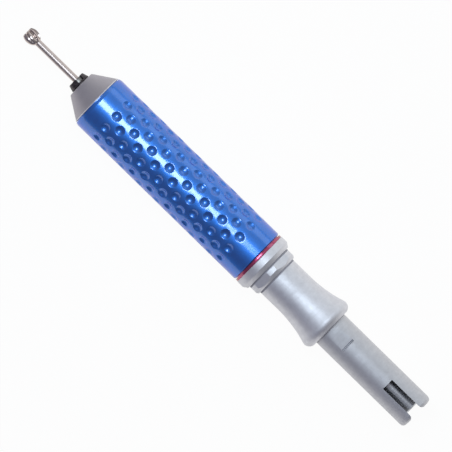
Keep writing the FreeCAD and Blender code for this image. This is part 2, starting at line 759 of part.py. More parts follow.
def tail():
    """Tail tube with its journal, detent ramp, key slots and cam slots, and what sits in it."""
    seat = -plug_front
    end = seat + S.tail_length
    round_start = end - S.tail_end_round
    end_radius = S.tail_radius - S.tail_end_round
    pocket = seat + tail_bearing_front
    ring_groove = seat + snap_ring_front
    release_end = release_rear - plug_front + S.release_room
    o_ring_middle = seat - S.o_ring_back
    groove_half = S.o_ring_section + 2 * S.face_gap
    groove_floor = S.tube_journal_radius - 2 * S.o_ring_section
    tube = turned(
        "tail_tube",
        plug_front,
        [
            (0, S.release_bore_radius),
            (0, S.tube_journal_radius),
            (o_ring_middle - groove_half, S.tube_journal_radius),
            (o_ring_middle - groove_half, groove_floor),
            (o_ring_middle + groove_half, groove_floor),
            (o_ring_middle + groove_half, S.tube_journal_radius),
            (seat, S.tube_journal_radius),
            (seat, S.tail_radius),
            (round_start, S.tail_radius),
            (end, end_radius, S.tail_end_round, -1),
            (end, tail_bore_radius),
            (ring_groove + S.snap_ring_thickness, tail_bore_radius),
            (ring_groove + S.snap_ring_thickness, snap_groove_radius),
            (ring_groove, snap_groove_radius),
            (ring_groove, tail_bore_radius),
            (pocket, tail_bore_radius),
            (pocket, S.tube_bore_radius),
            (release_end, S.tube_bore_radius),
            (release_end, S.release_bore_radius),
        ],
    )
    half_key = S.key_slot_width / 2
    half_mouth = half_key + S.key_mouth_round
    slots = new_sketch(tube, "key_slot_outline", "XY_Plane")
    draw_outline(
        slots,
        [
            (end - S.key_slot_length, -half_key),
            (end - S.key_slot_length, half_key),
            (end - S.key_mouth_round, half_key),
            (end, half_mouth, S.key_mouth_round, 1),
            (end + OVERHANG, half_mouth),
            (end + OVERHANG, -half_mouth),
            (end, -half_mouth),
            (end - S.key_mouth_round, -half_key, S.key_mouth_round, 1),
        ],
    )
    pocket_across(tube, "key_slots", slots, S.tail_radius)
    ramp = new_sketch(tube, "detent_outline")
    ramp_start = seat + S.detent_start
    ramp_end = ramp_start + S.detent_length
    draw_outline(
        ramp,
        [
            (ramp_start, S.tail_radius),
            (ramp_end, S.tail_radius - S.detent_depth),
            (ramp_end, S.tail_radius + OVERHANG),
            (ramp_start, S.tail_radius + OVERHANG),
        ],
    )
    pocket_across(tube, "detent_ramp", ramp, S.tail_radius)
    cam_half = S.cam_pin_radius + S.cam_gap
    cam_slot_rear = cam_pin_at - plug_front
    cam_slot_front = cam_slot_rear - S.chuck_travel
    cut_slot_across(tube, "cam_slots", cam_slot_front, cam_slot_rear, cam_half, S.tube_journal_radius)
    o_ring = document.addObject("Part::Torus", "sleeve_o_ring")
    o_ring.Label = "sleeve_o_ring"
    ring_middle = S.tube_journal_radius + S.fit_gap - S.o_ring_section
    bind(o_ring, Radius1=ring_middle, Radius2=S.o_ring_section)
    o_ring.Placement.Rotation = TO_X
    bind(o_ring, Placement__Base__x=-S.o_ring_back)
    node_objects.append(o_ring)
    ring_outside = snap_groove_radius - S.fit_gap
    split_ring(
        "tail_snap_ring",
        snap_ring_front,
        S.snap_ring_thickness,
        ring_outside - S.snap_ring_height,
        ring_outside,
    )


def split_ring(name, start, length, inner, outer):
    """A flat ring with an opening, so that it can be sprung into its groove."""
    ring = plain_ring(name, start, length, inner, outer)
    cut_box(ring, f"{name}_opening", 0, length, 0, 2 * outer, -S.ring_opening / 2, S.ring_opening)
    return ring


def twist_sleeve():
    """Twist sleeve with its flare and helical cam slots, its ring and its retaining ring."""
    end = sleeve_rear - sleeve_front
    ring_seat = ring_rear - sleeve_front
    flare_start = -S.flare_length - sleeve_front
    lip_centre = end - S.lip_round * sine(S.lip_wrap_angle)
    lip_middle_radius = S.flare_radius - S.lip_round
    lip_start = lip_centre - S.lip_round * sine(S.lip_lead_angle)
    lip_start_radius = lip_middle_radius + S.lip_round * cosine(S.lip_lead_angle)
    lip_end_radius = lip_middle_radius + S.lip_round * cosine(S.lip_wrap_angle)
    flare_arc = tangent_arc_radius(lip_start - flare_start, lip_start_radius - S.neck_radius)
    groove_start = S.sleeve_lip
    groove_end = groove_start + S.retainer_thickness
    sleeve = turned(
        "twist_sleeve",
        sleeve_front,
        [
            (0, sleeve_bore_radius),
            (0, sleeve_journal_radius),
            (groove_start, sleeve_journal_radius),
            (groove_start, groove_floor_radius),
            (groove_end, groove_floor_radius),
            (groove_end, sleeve_journal_radius),
            (ring_seat, sleeve_journal_radius),
            (ring_seat, S.neck_radius),
            (flare_start, S.neck_radius),
            (lip_start, lip_start_radius, flare_arc, 1),
            (end, lip_end_radius, S.lip_round, -1),
            (end, sleeve_bore_radius),
        ],
    )
    cut_cam_slots(sleeve)
    ring_bore = sleeve_journal_radius + S.fit_gap
    rim = S.twist_gap - S.face_gap
    ring_end = rim + S.twist_ring_length
    turned(
        "twist_ring",
        ring_front - rim,
        [
            (0, ring_bore),
            (0, S.twist_rim_radius),
            (rim, S.twist_rim_radius),
            (rim, S.twist_ring_radius),
            (rim + S.twist_ring_land, S.twist_ring_radius),
            (ring_end, S.neck_radius + S.fit_gap),
            (ring_end, ring_bore),
        ],
    )
    retainer_inside = groove_floor_radius + S.fit_gap
    split_ring(
        "twist_retaining_ring",
        retainer_front,
        S.retainer_thickness,
        retainer_inside,
        retainer_inside + S.retainer_height,
    )


def cut_cam_slots(sleeve):
    """Cut two helical slots through the sleeve, along the path that the cam pins take as it turns."""
    half_width = S.cam_pin_radius + S.cam_gap
    end_angle = arcsine(half_width / sleeve_bore_radius)
    slot_angle = S.twist_angle + 2 * end_angle
    rise = S.chuck_travel / S.twist_angle
    start = cam_pin_at - sleeve_front + rise * end_angle
    floor = sleeve_bore_radius - S.face_gap
    top = sleeve_journal_radius + S.face_gap
    profile = new_sketch(sleeve, "cam_slot_profile", "XY_Plane")
    profile.AttachmentOffset = FreeCAD.Placement(
        FreeCAD.Vector(), FreeCAD.Rotation(FreeCAD.Vector(1, 0, 0), end_angle.value)
    )
    bind(profile, AttachmentOffset__Rotation__Angle=end_angle)
    draw_outline(
        profile,
        [
            (start - half_width, floor),
            (start + half_width, floor),
            (start + half_width, top),
            (start - half_width, top),
        ],
    )
    slot = sleeve.newObject("PartDesign::SubtractiveHelix", "cam_slot")
    slot.Profile = (profile, [""])
    slot.ReferenceAxis = (profile, ["H_Axis"])
    slot.Mode = "height-turns-angle"
    slot.Reversed = True
    bind(slot, Height=rise * slot_angle, Turns=slot_angle / 360)
    repeat_round(sleeve, slot, 2)


def release():
    """Collar that slides in the tail tube, and the two cam pins that carry it."""
    collar = plain_ring(
        "release_collar",
        release_front,
        S.release_length,
        S.release_inner_radius,
        S.release_bore_radius - S.running_gap,
    )
    pin_hole = S.cam_pin_radius + S.fit_gap / 2
    drill_across(collar, "cam_pin_holes", S.cam_pin_to_face, pin_hole, S.release_bore_radius)
    inner = S.release_inner_radius + S.face_gap
    outer = sleeve_journal_radius - S.face_gap
    pins = [
        pin_along_y("cam_pin_left", cam_pin_at, S.cam_pin_radius, inner, outer),
        pin_along_y("cam_pin_right", cam_pin_at, S.cam_pin_radius, -outer, -inner),
    ]
    group("cam_pins", pins)


def spindle():
    """Spindle with its nuts."""
    step = cap_rear - spindle_front
    nut_front = front_bearing_front - S.clamp_nut_length - spindle_front
    middle = front_bearing_rear - spindle_front
    middle_end = rear_bearing_front - spindle_front
    journal_end = rear_bearing_rear - spindle_front
    end = spindle_rear - spindle_front
    cone_mouth = spindle_front_bore + S.collet_cone_rise
    front_bore_end = spring_shoulder_front - spindle_front
    spring_seat = spring_front - spindle_front
    shoulder_bore = S.drawbar_radius + 2 * S.running_gap
    body = turned(
        "spindle",
        spindle_front,
        [
            (0, cone_mouth),
            (0, S.spindle_tip_radius),
            (step, S.spindle_tip_radius),
            (step, S.spindle_nose_radius),
            (nut_front, S.spindle_nose_radius),
            (nut_front, S.bearing_bore),
            (middle, S.bearing_bore),
            (middle, S.spindle_middle_radius),
            (middle_end, S.spindle_middle_radius),
            (middle_end, S.bearing_bore),
            (journal_end, S.bearing_bore),
            (journal_end, S.spindle_rear_radius),
            (end, S.spindle_rear_radius),
            (end, S.spindle_rear_bore),
            (spring_seat, S.spindle_rear_bore),
            (spring_seat, shoulder_bore),
            (front_bore_end, shoulder_bore),
            (front_bore_end, spindle_front_bore),
            (S.collet_cone_length, spindle_front_bore),
        ],
    )
    slot_half = S.draw_pin_radius + S.running_gap
    slot_rear = draw_pin_at - spindle_front
    slot_front = slot_rear - S.chuck_travel
    cut_slot_across(body, "draw_pin_slots", slot_front, slot_rear, slot_half, S.spindle_rear_radius)
    pin_hole = S.dog_pin_radius + S.fit_gap / 2
    drill_across(body, "dog_pin_hole", dog_pin_at - spindle_front, pin_hole, S.spindle_middle_radius)
    nut_front_at = front_bearing_front - S.clamp_nut_length
    slotted_nut("front_bearing_nut", nut_front_at, S.bearing_bore + S.fit_gap, S.front_nut_radius, 0)
    slot_at = S.clamp_nut_length - S.nut_slot_depth
    rear_bore = S.spindle_rear_radius + S.fit_gap
    slotted_nut("rear_bearing_nut", rear_bearing_rear, rear_bore, S.rear_nut_radius, slot_at)


def slotted_nut(name, start, inner, outer, slot_at):
    """A round nut with spanner slots across one end face."""
    nut = plain_ring(name, start, S.clamp_nut_length, inner, outer)
    width = S.nut_slot_width
    slot = cut_box(nut, f"{name}_slot", slot_at, S.nut_slot_depth, 0, 2 * outer, -width / 2, width)
    repeat_round(nut, slot, S.nut_slot_count)


def chuck():
    """Collet, drawbar, its spring and nut, and the ring and pin that the release pushes."""
    mouth = collet_radius + S.collet_cone_rise
    stop = bur_stop - collet_front
    end = collet_rear - collet_front
    stub_bore = S.drawbar_stub_radius + S.fit_gap
    collet = turned(
        "collet",
        collet_front,
        [
            (0, collet_bore_radius),
            (0, mouth - S.running_gap),
            (S.collet_protrusion, mouth),
            (S.collet_protrusion + S.collet_cone_length, collet_radius),
            (end, collet_radius),
            (end, stub_bore),
            (stop, stub_bore),
            (stop, collet_bore_radius),
        ],
    )
    width = S.collet_slot_width
    slot = cut_box(collet, "collet_slot", 0, S.collet_slot_length, 0, 2 * mouth, -width / 2, width)
    repeat_round(collet, slot, S.collet_slot_count)
    stub_end = S.collet_thread_length
    bar_end = draw_pin_at + S.drawbar_overhang - bur_stop
    drawbar = turned(
        "drawbar",
        bur_stop,
        [
            (0, 0),
            (0, S.drawbar_stub_radius),
            (stub_end, S.drawbar_stub_radius),
            (stub_end, S.drawbar_radius),
            (bar_end, S.drawbar_radius),
            (bar_end, 0),
        ],
    )
    pin_hole = S.draw_pin_radius + S.fit_gap / 2
    drill_across(drawbar, "draw_pin_hole", draw_pin_at - bur_stop, pin_hole, S.drawbar_radius)
    nut_bore = S.drawbar_radius + S.fit_gap
    nut_radius = S.spindle_rear_bore - S.running_gap
    plain_ring("spring_nut", spring_nut_front, S.spring_nut_length, nut_bore, nut_radius)
    ring_bore = S.spindle_rear_radius + S.running_gap
    ring = plain_ring("draw_ring", draw_ring_front, S.draw_ring_length, ring_bore, S.draw_ring_radius)
    drill_across(ring, "draw_ring_hole", S.draw_ring_length / 2, pin_hole, S.draw_ring_radius)
    pin_reach = S.draw_ring_radius - S.face_gap
    pin = pin_along_y("draw_pin", draw_pin_at, S.draw_pin_radius, -pin_reach, pin_reach)
    pin.Label = "draw_pin"
    node_objects.append(pin)
    collet_spring()


def collet_spring():
    """Compression spring of flat wire between the spindle's shoulder and the drawbar's nut."""
    body = new_body("collet_spring", spring_front)
    outer = S.spindle_rear_bore - S.running_gap
    inner = outer - S.spring_wire_width
    profile = new_sketch(body, "spring_wire")
    corners = [(0, inner), (S.spring_wire_length, inner), (S.spring_wire_length, outer), (0, outer)]
    draw_outline(profile, corners)
    coil = body.newObject("PartDesign::AdditiveHelix", "spring_coil")
    coil.Profile = (profile, [""])
    coil.ReferenceAxis = (profile, ["H_Axis"])
    coil.Mode = "height-turns-angle"
    bind(coil, Height=S.spring_length - S.spring_wire_length, Turns=S.spring_turns)


def drive():
    """Drive dog in the spindle's end and its cross pin."""
    head = S.dog_shank_length
    end = dog_rear - dog_front
    shank = S.spindle_rear_bore - S.fit_gap
    dog = turned(
        "drive_dog",
        dog_front,
        [
            (0, 0),
            (0, shank),
            (head, shank),
            (head, S.dog_radius),
            (end - S.dog_bevel, S.dog_radius),
            (end, S.dog_radius - S.dog_bevel),
            (end, 0),
        ],
    )
    cut_box(
        dog,
        "blade_slot",
        end - S.dog_slot_depth,
        S.dog_slot_depth,
        -S.dog_radius,
        2 * S.dog_radius,
        -S.dog_slot_width / 2,
        S.dog_slot_width,
    )
    drill_across(dog, "dog_pin_bore", dog_pin_at - dog_front, S.dog_pin_radius + S.fit_gap / 2, S.dog_radius)
    reach = S.spindle_rear_radius - S.running_gap
    pin = pin_along_y("dog_pin", dog_pin_at, S.dog_pin_radius, -reach, reach)
    pin.Label = "dog_pin"
    node_objects.append(pin)


def bur():
    """Round bur: a fluted head brazed to a plain shank."""
    face_end = S.bur_face_bevel
    shoulder = S.bur_face_radius + S.bur_face_bevel
    front_arc = tangent_arc_radius(S.bur_widest - face_end, S.bur_head_radius - shoulder)
    rear_arc = tangent_arc_radius(S.bur_head_length - S.bur_widest, S.bur_head_radius - S.shank_radius)
    head = turned(
        "bur_head",
        bur_tip,
        [
            (0, 0),
            (0, S.bur_face_radius),
            (face_end, shoulder),
            (S.bur_widest, S.bur_head_radius, front_arc, -1),
            (S.bur_head_length, S.shank_radius, rear_arc, -1),
            (S.bur_head_length, 0),
        ],
    )
    flute = head.newObject("PartDesign::SubtractiveBox", "flute")
    cutter = 2 * S.bur_head_radius
    bind(flute, Length=cutter, Width=cutter, Height=S.bur_head_length + 2 * OVERHANG)
    tilt = FreeCAD.Rotation(FreeCAD.Vector(1, 0, 0), FLUTE_TILT)
    corner = FreeCAD.Rotation(FreeCAD.Vector(0, 0, 1), -FLUTE_OPENING)
    place_feature(head, flute, -OVERHANG, S.flute_floor, 0, tilt * corner)
    repeat_round(head, flute, S.flute_count)
    shank_length = S.bur_length - S.bur_head_length
    turned(
        "bur_shank",
        shank_front,
        [
            (0, 0),
            (0, S.shank_radius),
            (shank_length - S.shank_bevel, S.shank_radius),
            (shank_length, S.shank_radius - S.shank_bevel),
            (shank_length, 0),
        ],
    )


def bearings():
    """The two main bearings and the small one in the tail."""
    main = (S.bearing_bore, S.bearing_outside, S.bearing_width, S.bearing_ball, S.bearing_ball_count)
    ball_bearing("front_bearing", front_bearing_front, *main)
    ball_bearing("rear_bearing", rear_bearing_front, *main)
    ball_bearing(
        "tail_bearing",
        tail_bearing_front,
        S.spindle_rear_radius,
        S.tail_bearing_outside,
        S.tail_bearing_width,
        S.tail_bearing_ball,
        S.tail_bearing_ball_count,
    )


def check_and_write():
    """Refuse a failed feature or a broken shape, then write one STEP file for each node."""
    document.recompute()
    for item in document.Objects:
        if {"Invalid", "Error"} & set(item.State):
            raise RuntimeError(f"{item.Name} failed: {item.State}")
    for item in node_objects:
        if item.Shape.isNull() or not item.Shape.isValid() or not item.Shape.Solids:
            raise RuntimeError(f"{item.Label} has no valid solid")
    os.makedirs("parts", exist_ok=True)
    for item in node_objects:
        item.Shape.exportStep(f"parts/{item.Label}.step")
        print(f"{item.Label}: {len(item.Shape.Solids)} solid, {item.Shape.Volume:.2f} mm3")


bur()
chuck()
spindle()
bearings()
nose()
grip()
housing()
rear_collar()
tail()
twist_sleeve()
release()
drive()
check_and_write()
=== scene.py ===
import json
import math

import bmesh
import bpy
from mathutils import Matrix, Vector

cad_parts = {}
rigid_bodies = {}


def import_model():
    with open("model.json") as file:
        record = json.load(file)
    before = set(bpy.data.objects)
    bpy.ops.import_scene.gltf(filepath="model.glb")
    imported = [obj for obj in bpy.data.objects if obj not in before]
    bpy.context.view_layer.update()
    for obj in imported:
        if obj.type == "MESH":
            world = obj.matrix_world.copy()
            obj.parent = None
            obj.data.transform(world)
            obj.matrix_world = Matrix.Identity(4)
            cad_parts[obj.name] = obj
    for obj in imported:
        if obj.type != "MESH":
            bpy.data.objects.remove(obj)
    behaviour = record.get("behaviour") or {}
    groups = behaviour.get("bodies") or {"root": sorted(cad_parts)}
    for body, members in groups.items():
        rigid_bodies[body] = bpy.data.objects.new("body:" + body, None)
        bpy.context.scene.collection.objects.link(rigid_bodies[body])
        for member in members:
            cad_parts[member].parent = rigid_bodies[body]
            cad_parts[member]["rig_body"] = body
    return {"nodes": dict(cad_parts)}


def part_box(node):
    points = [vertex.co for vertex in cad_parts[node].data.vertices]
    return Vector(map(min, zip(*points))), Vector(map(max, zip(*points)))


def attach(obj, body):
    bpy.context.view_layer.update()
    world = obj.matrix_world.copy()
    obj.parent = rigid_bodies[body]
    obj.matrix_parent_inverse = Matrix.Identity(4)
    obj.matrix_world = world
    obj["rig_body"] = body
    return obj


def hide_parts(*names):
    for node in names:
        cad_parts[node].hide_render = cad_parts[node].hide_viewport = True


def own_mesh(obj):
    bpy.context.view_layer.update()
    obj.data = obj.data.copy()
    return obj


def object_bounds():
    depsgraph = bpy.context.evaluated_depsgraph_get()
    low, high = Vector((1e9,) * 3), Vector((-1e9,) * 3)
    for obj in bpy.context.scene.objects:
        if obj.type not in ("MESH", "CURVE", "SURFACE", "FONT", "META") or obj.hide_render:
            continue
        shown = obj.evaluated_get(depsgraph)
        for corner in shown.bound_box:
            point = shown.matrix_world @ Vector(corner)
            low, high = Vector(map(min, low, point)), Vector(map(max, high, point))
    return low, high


bl_info = {
    "name": "Laboratory Handpiece",
    "version": (1, 0, 0),
    "blender": (4, 5, 0),
    "location": "View3D > Sidebar > Handpiece",
    "description": "Finished pieces for a straight laboratory handpiece, and the stage that it lies on",
    "category": "Object",
}

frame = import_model()
bpy.context.view_layer.update()
CAD_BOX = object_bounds()

MM = 0.001

# The photograph's side in pixels, a pixel's length on the handpiece, and the slope of the axis in it
IMAGE_SIDE = 452
PIXEL = 0.33 * MM
AXIS_SLOPE = math.radians(44.36)

# Points round every turned piece, steps in a rounded corner, and the angle above which an edge shades sharp
TURN_POINTS = 144
CORNER_STEPS = 4
SHARP_ANGLE = math.radians(32)

# How near to the axis a point lies on it, how close two points are one in a new mesh and after a cut, and
# how short an edge is left out
ON_AXIS = 0.001 * MM
SAME_POINT = 0.0005 * MM
SAME_CUT_POINT = 0.002 * MM
SHORTEST_EDGE = 0.001 * MM


def linear(colour):
    """Linear red, green and blue from an sRGB hex value such as #8090A0."""
    channels = [int(colour[place : place + 2], 16) / 255 for place in (1, 3, 5)]
    return tuple(
        value / 12.92 if value <= 0.04045 else ((value + 0.055) / 1.055) ** 2.4 for value in channels
    )


def reach(node):
    """Front end, rear end and outside radius of a CAD node, in metres."""
    low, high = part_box(node)
    return low.x, high.x, max(high.y, high.z)


# Meshes


def rounded(corners):
    """Points of an outline whose corners are (along, out) or, to be rounded, (along, out, radius)."""
    points = []
    for index, corner in enumerate(corners):
        here = Vector(corner[:2])
        if len(corner) == 2:
            points.append(here)
            continue
        before = (Vector(corners[index - 1][:2]) - here).normalized()
        after = (Vector(corners[(index + 1) % len(corners)][:2]) - here).normalized()
        half_angle = before.angle(after) / 2
        centre = here + (before + after).normalized() * corner[2] / math.sin(half_angle)
        tangent = corner[2] / math.tan(half_angle)
        first = here + before * tangent - centre
        last = here + after * tangent - centre
        turn = first.angle_signed(last)
        for step in range(CORNER_STEPS + 1):
            points.append(centre + Matrix.Rotation(-turn * step / CORNER_STEPS, 2) @ first)
    return points


def arc_points(start, end, middle, steps):
    """Points of the arc from start to end whose bulge passes through middle."""
    ax, ay = start
    bx, by = middle
    cx, cy = end
    scale = 2 * (ax * (by - cy) + bx * (cy - ay) + cx * (ay - by))
    squares = [x * x + y * y for x, y in (start, middle, end)]
    centre = Vector(
        (
            (squares[0] * (by - cy) + squares[1] * (cy - ay) + squares[2] * (ay - by)) / scale,
            (squares[0] * (cx - bx) + squares[1] * (ax - cx) + squares[2] * (bx - ax)) / scale,
        )
    )
    first = Vector(start) - centre
    turn = first.angle_signed(Vector(end) - centre)
    return [centre + Matrix.Rotation(-turn * step / steps, 2) @ first for step in range(steps + 1)]


def round_axis(along, out, angle):
    """A place given along the axis, out from it and round it."""
    return along, out * math.cos(angle), out * math.sin(angle)


def ring_of_points(mesh, along, out, count, first_angle=0.0):
    """A ring of vertices about the axis, or one vertex on it."""
    if out < ON_AXIS:
        return [mesh.verts.new((along, 0, 0))] * count
    angles = [first_angle + 2 * math.pi * index / count for index in range(count)]
    return [mesh.verts.new(round_axis(along, out, angle)) for angle in angles]


def join_rings(mesh, rings):
    """Faces between each ring of points and the next, which has as many."""
    for first, second in zip(rings, rings[1:]):
        for index in range(len(first)):
            following = (index + 1) % len(first)
            corners = [first[index], first[following], second[following], second[index]]
            different = list(dict.fromkeys(corners))
            if len(different) > 2:
                mesh.faces.new(different)


def turn_outline(mesh, outline, closed=True, count=TURN_POINTS, first_angle=0.0):
    """Faces swept round the axis by an outline of (along, out) points."""
    rings = [ring_of_points(mesh, along, out, count, first_angle) for along, out in outline]
    join_rings(mesh, rings + rings[:1] if closed else rings)


def mesh_object(name, mesh):
    """Turn a bmesh into a shaded object in the scene."""
    bmesh.ops.remove_doubles(mesh, verts=mesh.verts, dist=SAME_POINT)
    bmesh.ops.recalc_face_normals(mesh, faces=mesh.faces)
    data = bpy.data.meshes.new(name)
    mesh.to_mesh(data)
    mesh.free()
    piece = bpy.data.objects.new(name, data)
    bpy.context.scene.collection.objects.link(piece)
    shade(piece)
    return piece


def shade(piece):
    """Smooth faces between sharp edges, with normals that follow the large faces."""
    piece.data.shade_smooth()
    piece.data.set_sharp_from_angle(angle=SHARP_ANGLE)
    if "Normals" not in piece.modifiers:
        normals = piece.modifiers.new("Normals", "WEIGHTED_NORMAL")
        normals.keep_sharp = True


def turned(name, corners):
    """A closed piece turned about the axis from its outline's corners."""
    mesh = bmesh.new()
    turn_outline(mesh, rounded(corners))
    return mesh_object(name, mesh)


def prism(name, outline, low, high, turn=0.0):
    """A cutter: an (along, up) outline drawn out from low to high along Y, then turned about the axis."""
    mesh = bmesh.new()
    sides = [[mesh.verts.new((along, y, up)) for along, up in outline] for y in (low, high)]
    join_rings(mesh, sides)
    for side in sides:
        mesh.faces.new(side)
    bmesh.ops.rotate(mesh, verts=mesh.verts, matrix=Matrix.Rotation(turn, 3, "X"))
    return mesh_object(name, mesh)


def stadium(first, last, half_width, steps=11):
    """Outline of a round-ended slot between the centres of its ends."""
    points = []
    for centre, start in ((last, -math.pi / 2), (first, math.pi / 2)):
        for step in range(steps + 1):
            angle = start + math.pi * step / steps
            points.append((centre + half_width * math.cos(angle), half_width * math.sin(angle)))
    return points


def rectangle(first, last, low, high):
    """Outline of a rectangle between two places along the axis and two heights."""
    return [(first, low), (last, low), (last, high), (first, high)]


def cut(piece, cutter):
    """Take the cutter away from the piece and delete it."""
    cutting = piece.modifiers.new("Cut", "BOOLEAN")
    cutting.object = cutter
    cutting.operation = "DIFFERENCE"
    cutting.solver = "EXACT"
    piece.modifiers.move(len(piece.modifiers) - 1, 0)
    settle(piece, "Cut")
    bpy.data.objects.remove(cutter)


def weld(piece):
    """Join the points that cutting leaves almost on top of each other."""
    mesh = bmesh.new()
    mesh.from_mesh(piece.data)
    bmesh.ops.remove_doubles(mesh, verts=mesh.verts, dist=SAME_CUT_POINT)
    bmesh.ops.dissolve_degenerate(mesh, edges=mesh.edges, dist=SHORTEST_EDGE)
    mesh.to_mesh(piece.data)
    mesh.free()


def soften(piece, width):
    """Break the piece's sharp edges."""
    weld(piece)
    bevel = piece.modifiers.new("Bevel", "BEVEL")
    bevel.width = width
    bevel.segments = 2
    bevel.limit_method = "ANGLE"
    bevel.angle_limit = SHARP_ANGLE
    piece.modifiers.move(len(piece.modifiers) - 1, 0)
    settle(piece, "Bevel")
    shade(piece)


def settle(piece, modifier):
    """Apply one modifier to the piece's mesh."""
    with bpy.context.temp_override(object=piece, active_object=piece, selected_objects=[piece]):
        bpy.ops.object.modifier_apply(modifier=modifier)


def place(piece, node, material):
    """Let the piece stand for a CAD node, on that node's body and with the given material."""
    cad = frame["nodes"][node]
    piece.data.materials.clear()
    piece.data.materials.append(material)
    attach(piece, cad["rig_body"])
    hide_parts(node)


def refinish(piece, material, first, last):
    """Give the faces whose middles lie between two places along the axis another finish."""
    piece.data.materials.append(material)
    for face in piece.data.polygons:
        if first < face.center.x < last:
            face.material_index = len(piece.data.materials) - 1


def finish_node(node, material):
    """Give a CAD node that is shown as it is its finish."""
    frame["nodes"][node].material_slots[0].material = material


# Materials


def add_node(tree, kind, settings=None, values=None, links=None):
    """Add a node, set its properties and input values, and link its inputs to other nodes' outputs."""
    node = tree.nodes.new(kind)
    for name, value in (settings or {}).items():
        setattr(node, name, value)
    for name, value in (values or {}).items():
        node.inputs[name].default_value = value
    for name, output in (links or {}).items():
        tree.links.new(output, node.inputs[name])
    return node


def new_finish(name, **shader_values):
    """A material with one surface shader, and a node that gives positions in millimetres."""
    material = bpy.data.materials.new(name)
    material.use_nodes = True
    tree = material.node_tree
    shader = tree.nodes["Principled BSDF"]
    for socket, value in shader_values.items():
        shader.inputs[socket.replace("_", " ")].default_value = value
    metres = add_node(tree, "ShaderNodeTexCoord").outputs["Object"]
    named = {"operation": "SCALE", "name": "Millimetres"}
    add_node(tree, "ShaderNodeVectorMath", named, {"Scale": 1 / MM}, {0: metres})
    return material


def vary(
    material, size, detail=2.0, stretch=(1, 1, 1), colours=None, strong=False, roughness=None, relief=None
):
    """Vary the surface in random soft patches about `size` millimetres across.

    The patches run between two linear colours, all the way if they are strong, between two values of
    roughness, and over a relief that is given in millimetres.
    """
    tree = material.node_tree
    surface = tree.nodes["Principled BSDF"].inputs
    position = tree.nodes["Millimetres"].outputs["Vector"]
    stretched = add_node(tree, "ShaderNodeMapping", None, {"Scale": stretch}, {"Vector": position})
    noise = {"Scale": 1 / size, "Detail": detail, "Roughness": 0.6}
    there = {"Vector": stretched.outputs["Vector"]}
    patches = add_node(tree, "ShaderNodeTexNoise", None, noise, there).outputs["Fac"]
    # Nearly all of the noise lies between these values
    useful = {"From Min": 0.3, "From Max": 0.7}
    if colours:
        share = patches
        if strong:
            share = add_node(tree, "ShaderNodeMapRange", None, useful, {"Value": patches}).outputs["Result"]
        ends = {6: (*colours[0], 1), 7: (*colours[1], 1)}
        blend = add_node(tree, "ShaderNodeMix", {"data_type": "RGBA"}, ends, {"Factor": share})
        tree.links.new(blend.outputs[2], surface["Base Color"])
    if roughness:
        ends = {"To Min": roughness[0], "To Max": roughness[1]}
        sheen = add_node(tree, "ShaderNodeMapRange", None, useful | ends, {"Value": patches})
        tree.links.new(sheen.outputs["Result"], surface["Roughness"])
    if relief:
        depth = {"Strength": 1.0, "Distance": relief * MM}
        bump = add_node(tree, "ShaderNodeBump", None, depth, {"Height": patches})
        tree.links.new(bump.outputs["Normal"], surface["Normal"])


def toned(colour, share):
    """A linear colour made darker or lighter."""
    return tuple(channel * share for channel in colour)


def blasted_steel(settings):
    """Stainless steel, blasted with glass beads: an even grey with a wide, weak highlight and no streaks."""
    colour = tuple(settings.steel_colour)
    material = new_finish("blasted_steel", Metallic=1.0)
    vary(material, 3.0, colours=(toned(colour, 0.93), toned(colour, 1.05)))
    # Bead dimples are about 0.05 mm; at 0.25 mm they just show as a fine grain
    vary(material, 0.25, detail=1.0, roughness=(0.50, 0.60), relief=0.004)
    return material


def anodised_aluminium(name, colour, roughness):
    """Aluminium with a dyed, sealed oxide skin: a deep metallic colour under a clear layer that glints white.

    Light that grazes the skin goes through more dye, so the metal's edges take its colour as well.
    """
    material = new_finish(
        name,
        Metallic=1.0,
        Specular_Tint=(*colour, 1),
        Coat_Weight=1.0,
        Coat_IOR=1.76,
        Coat_Roughness=0.165,
    )
    # The dye takes a little unevenly, in patches of a few millimetres
    vary(material, 3.0, detail=4.0, colours=(toned(colour, 0.9), toned(colour, 1.07)), strong=True)
    # Tumbling leaves dents of about 0.1 mm; at 0.3 mm they give the sheen its slight tooth
    vary(material, 0.3, detail=1.0, roughness=(roughness - 0.03, roughness + 0.03), relief=0.0012)
    return material


def satin_steel(name, colour, roughness):
    """Stainless steel, turned and satin finished: pale, with faint rings round the axis and a soft sheen."""
    material = new_finish(name, Metallic=1.0)
    # The satin finish and handling leave a faint bloom in patches of about 1.5 mm and less
    vary(material, 1.5, detail=4.0, colours=(toned(colour, 0.94), toned(colour, 1.05)), strong=True)
    # The tool's feed was 0.05 mm a turn; rings of 0.3 mm are the finest that show
    sheen = (roughness - 0.04, roughness + 0.04)
    vary(material, 0.3, detail=1.0, stretch=(1, 0.02, 0.02), roughness=sheen, relief=0.0012)
    return material


def satin_turned_steel(settings):
    """The finish of the collar, the twist ring, the twist sleeve and the nose cone's rear edge."""
    return satin_steel("satin_turned_steel", tuple(settings.satin_colour), roughness=0.57)


def matt_turned_steel(settings):
    """The finish of the tail and its plug, a little duller than the twist sleeve's."""
    return satin_steel("matt_turned_steel", tuple(settings.tail_colour), roughness=0.62)


def blackened_steel():
    """Steel, hot blackened and oiled: near black with a low brown sheen where it has been gripped."""
    material = new_finish("blackened_steel", Metallic=0.8)
    colours = (linear("#2B272C"), linear("#5A5355"))
    vary(material, 0.8, detail=3.0, colours=colours, strong=True, roughness=(0.32, 0.48))
    return material


def painted_gap_shade():
    """Painted shade on the steel in the gaps beside the twist ring: a dull grey for the shade there."""
    # A flat, non-metal grey, painted in where shade falls in the gaps
    material = new_finish("painted_gap_shade", Metallic=0.0)
    vary(material, 0.8, colours=(linear("#85838B"), linear("#ABA9B1")), roughness=(0.45, 0.6))
    return material


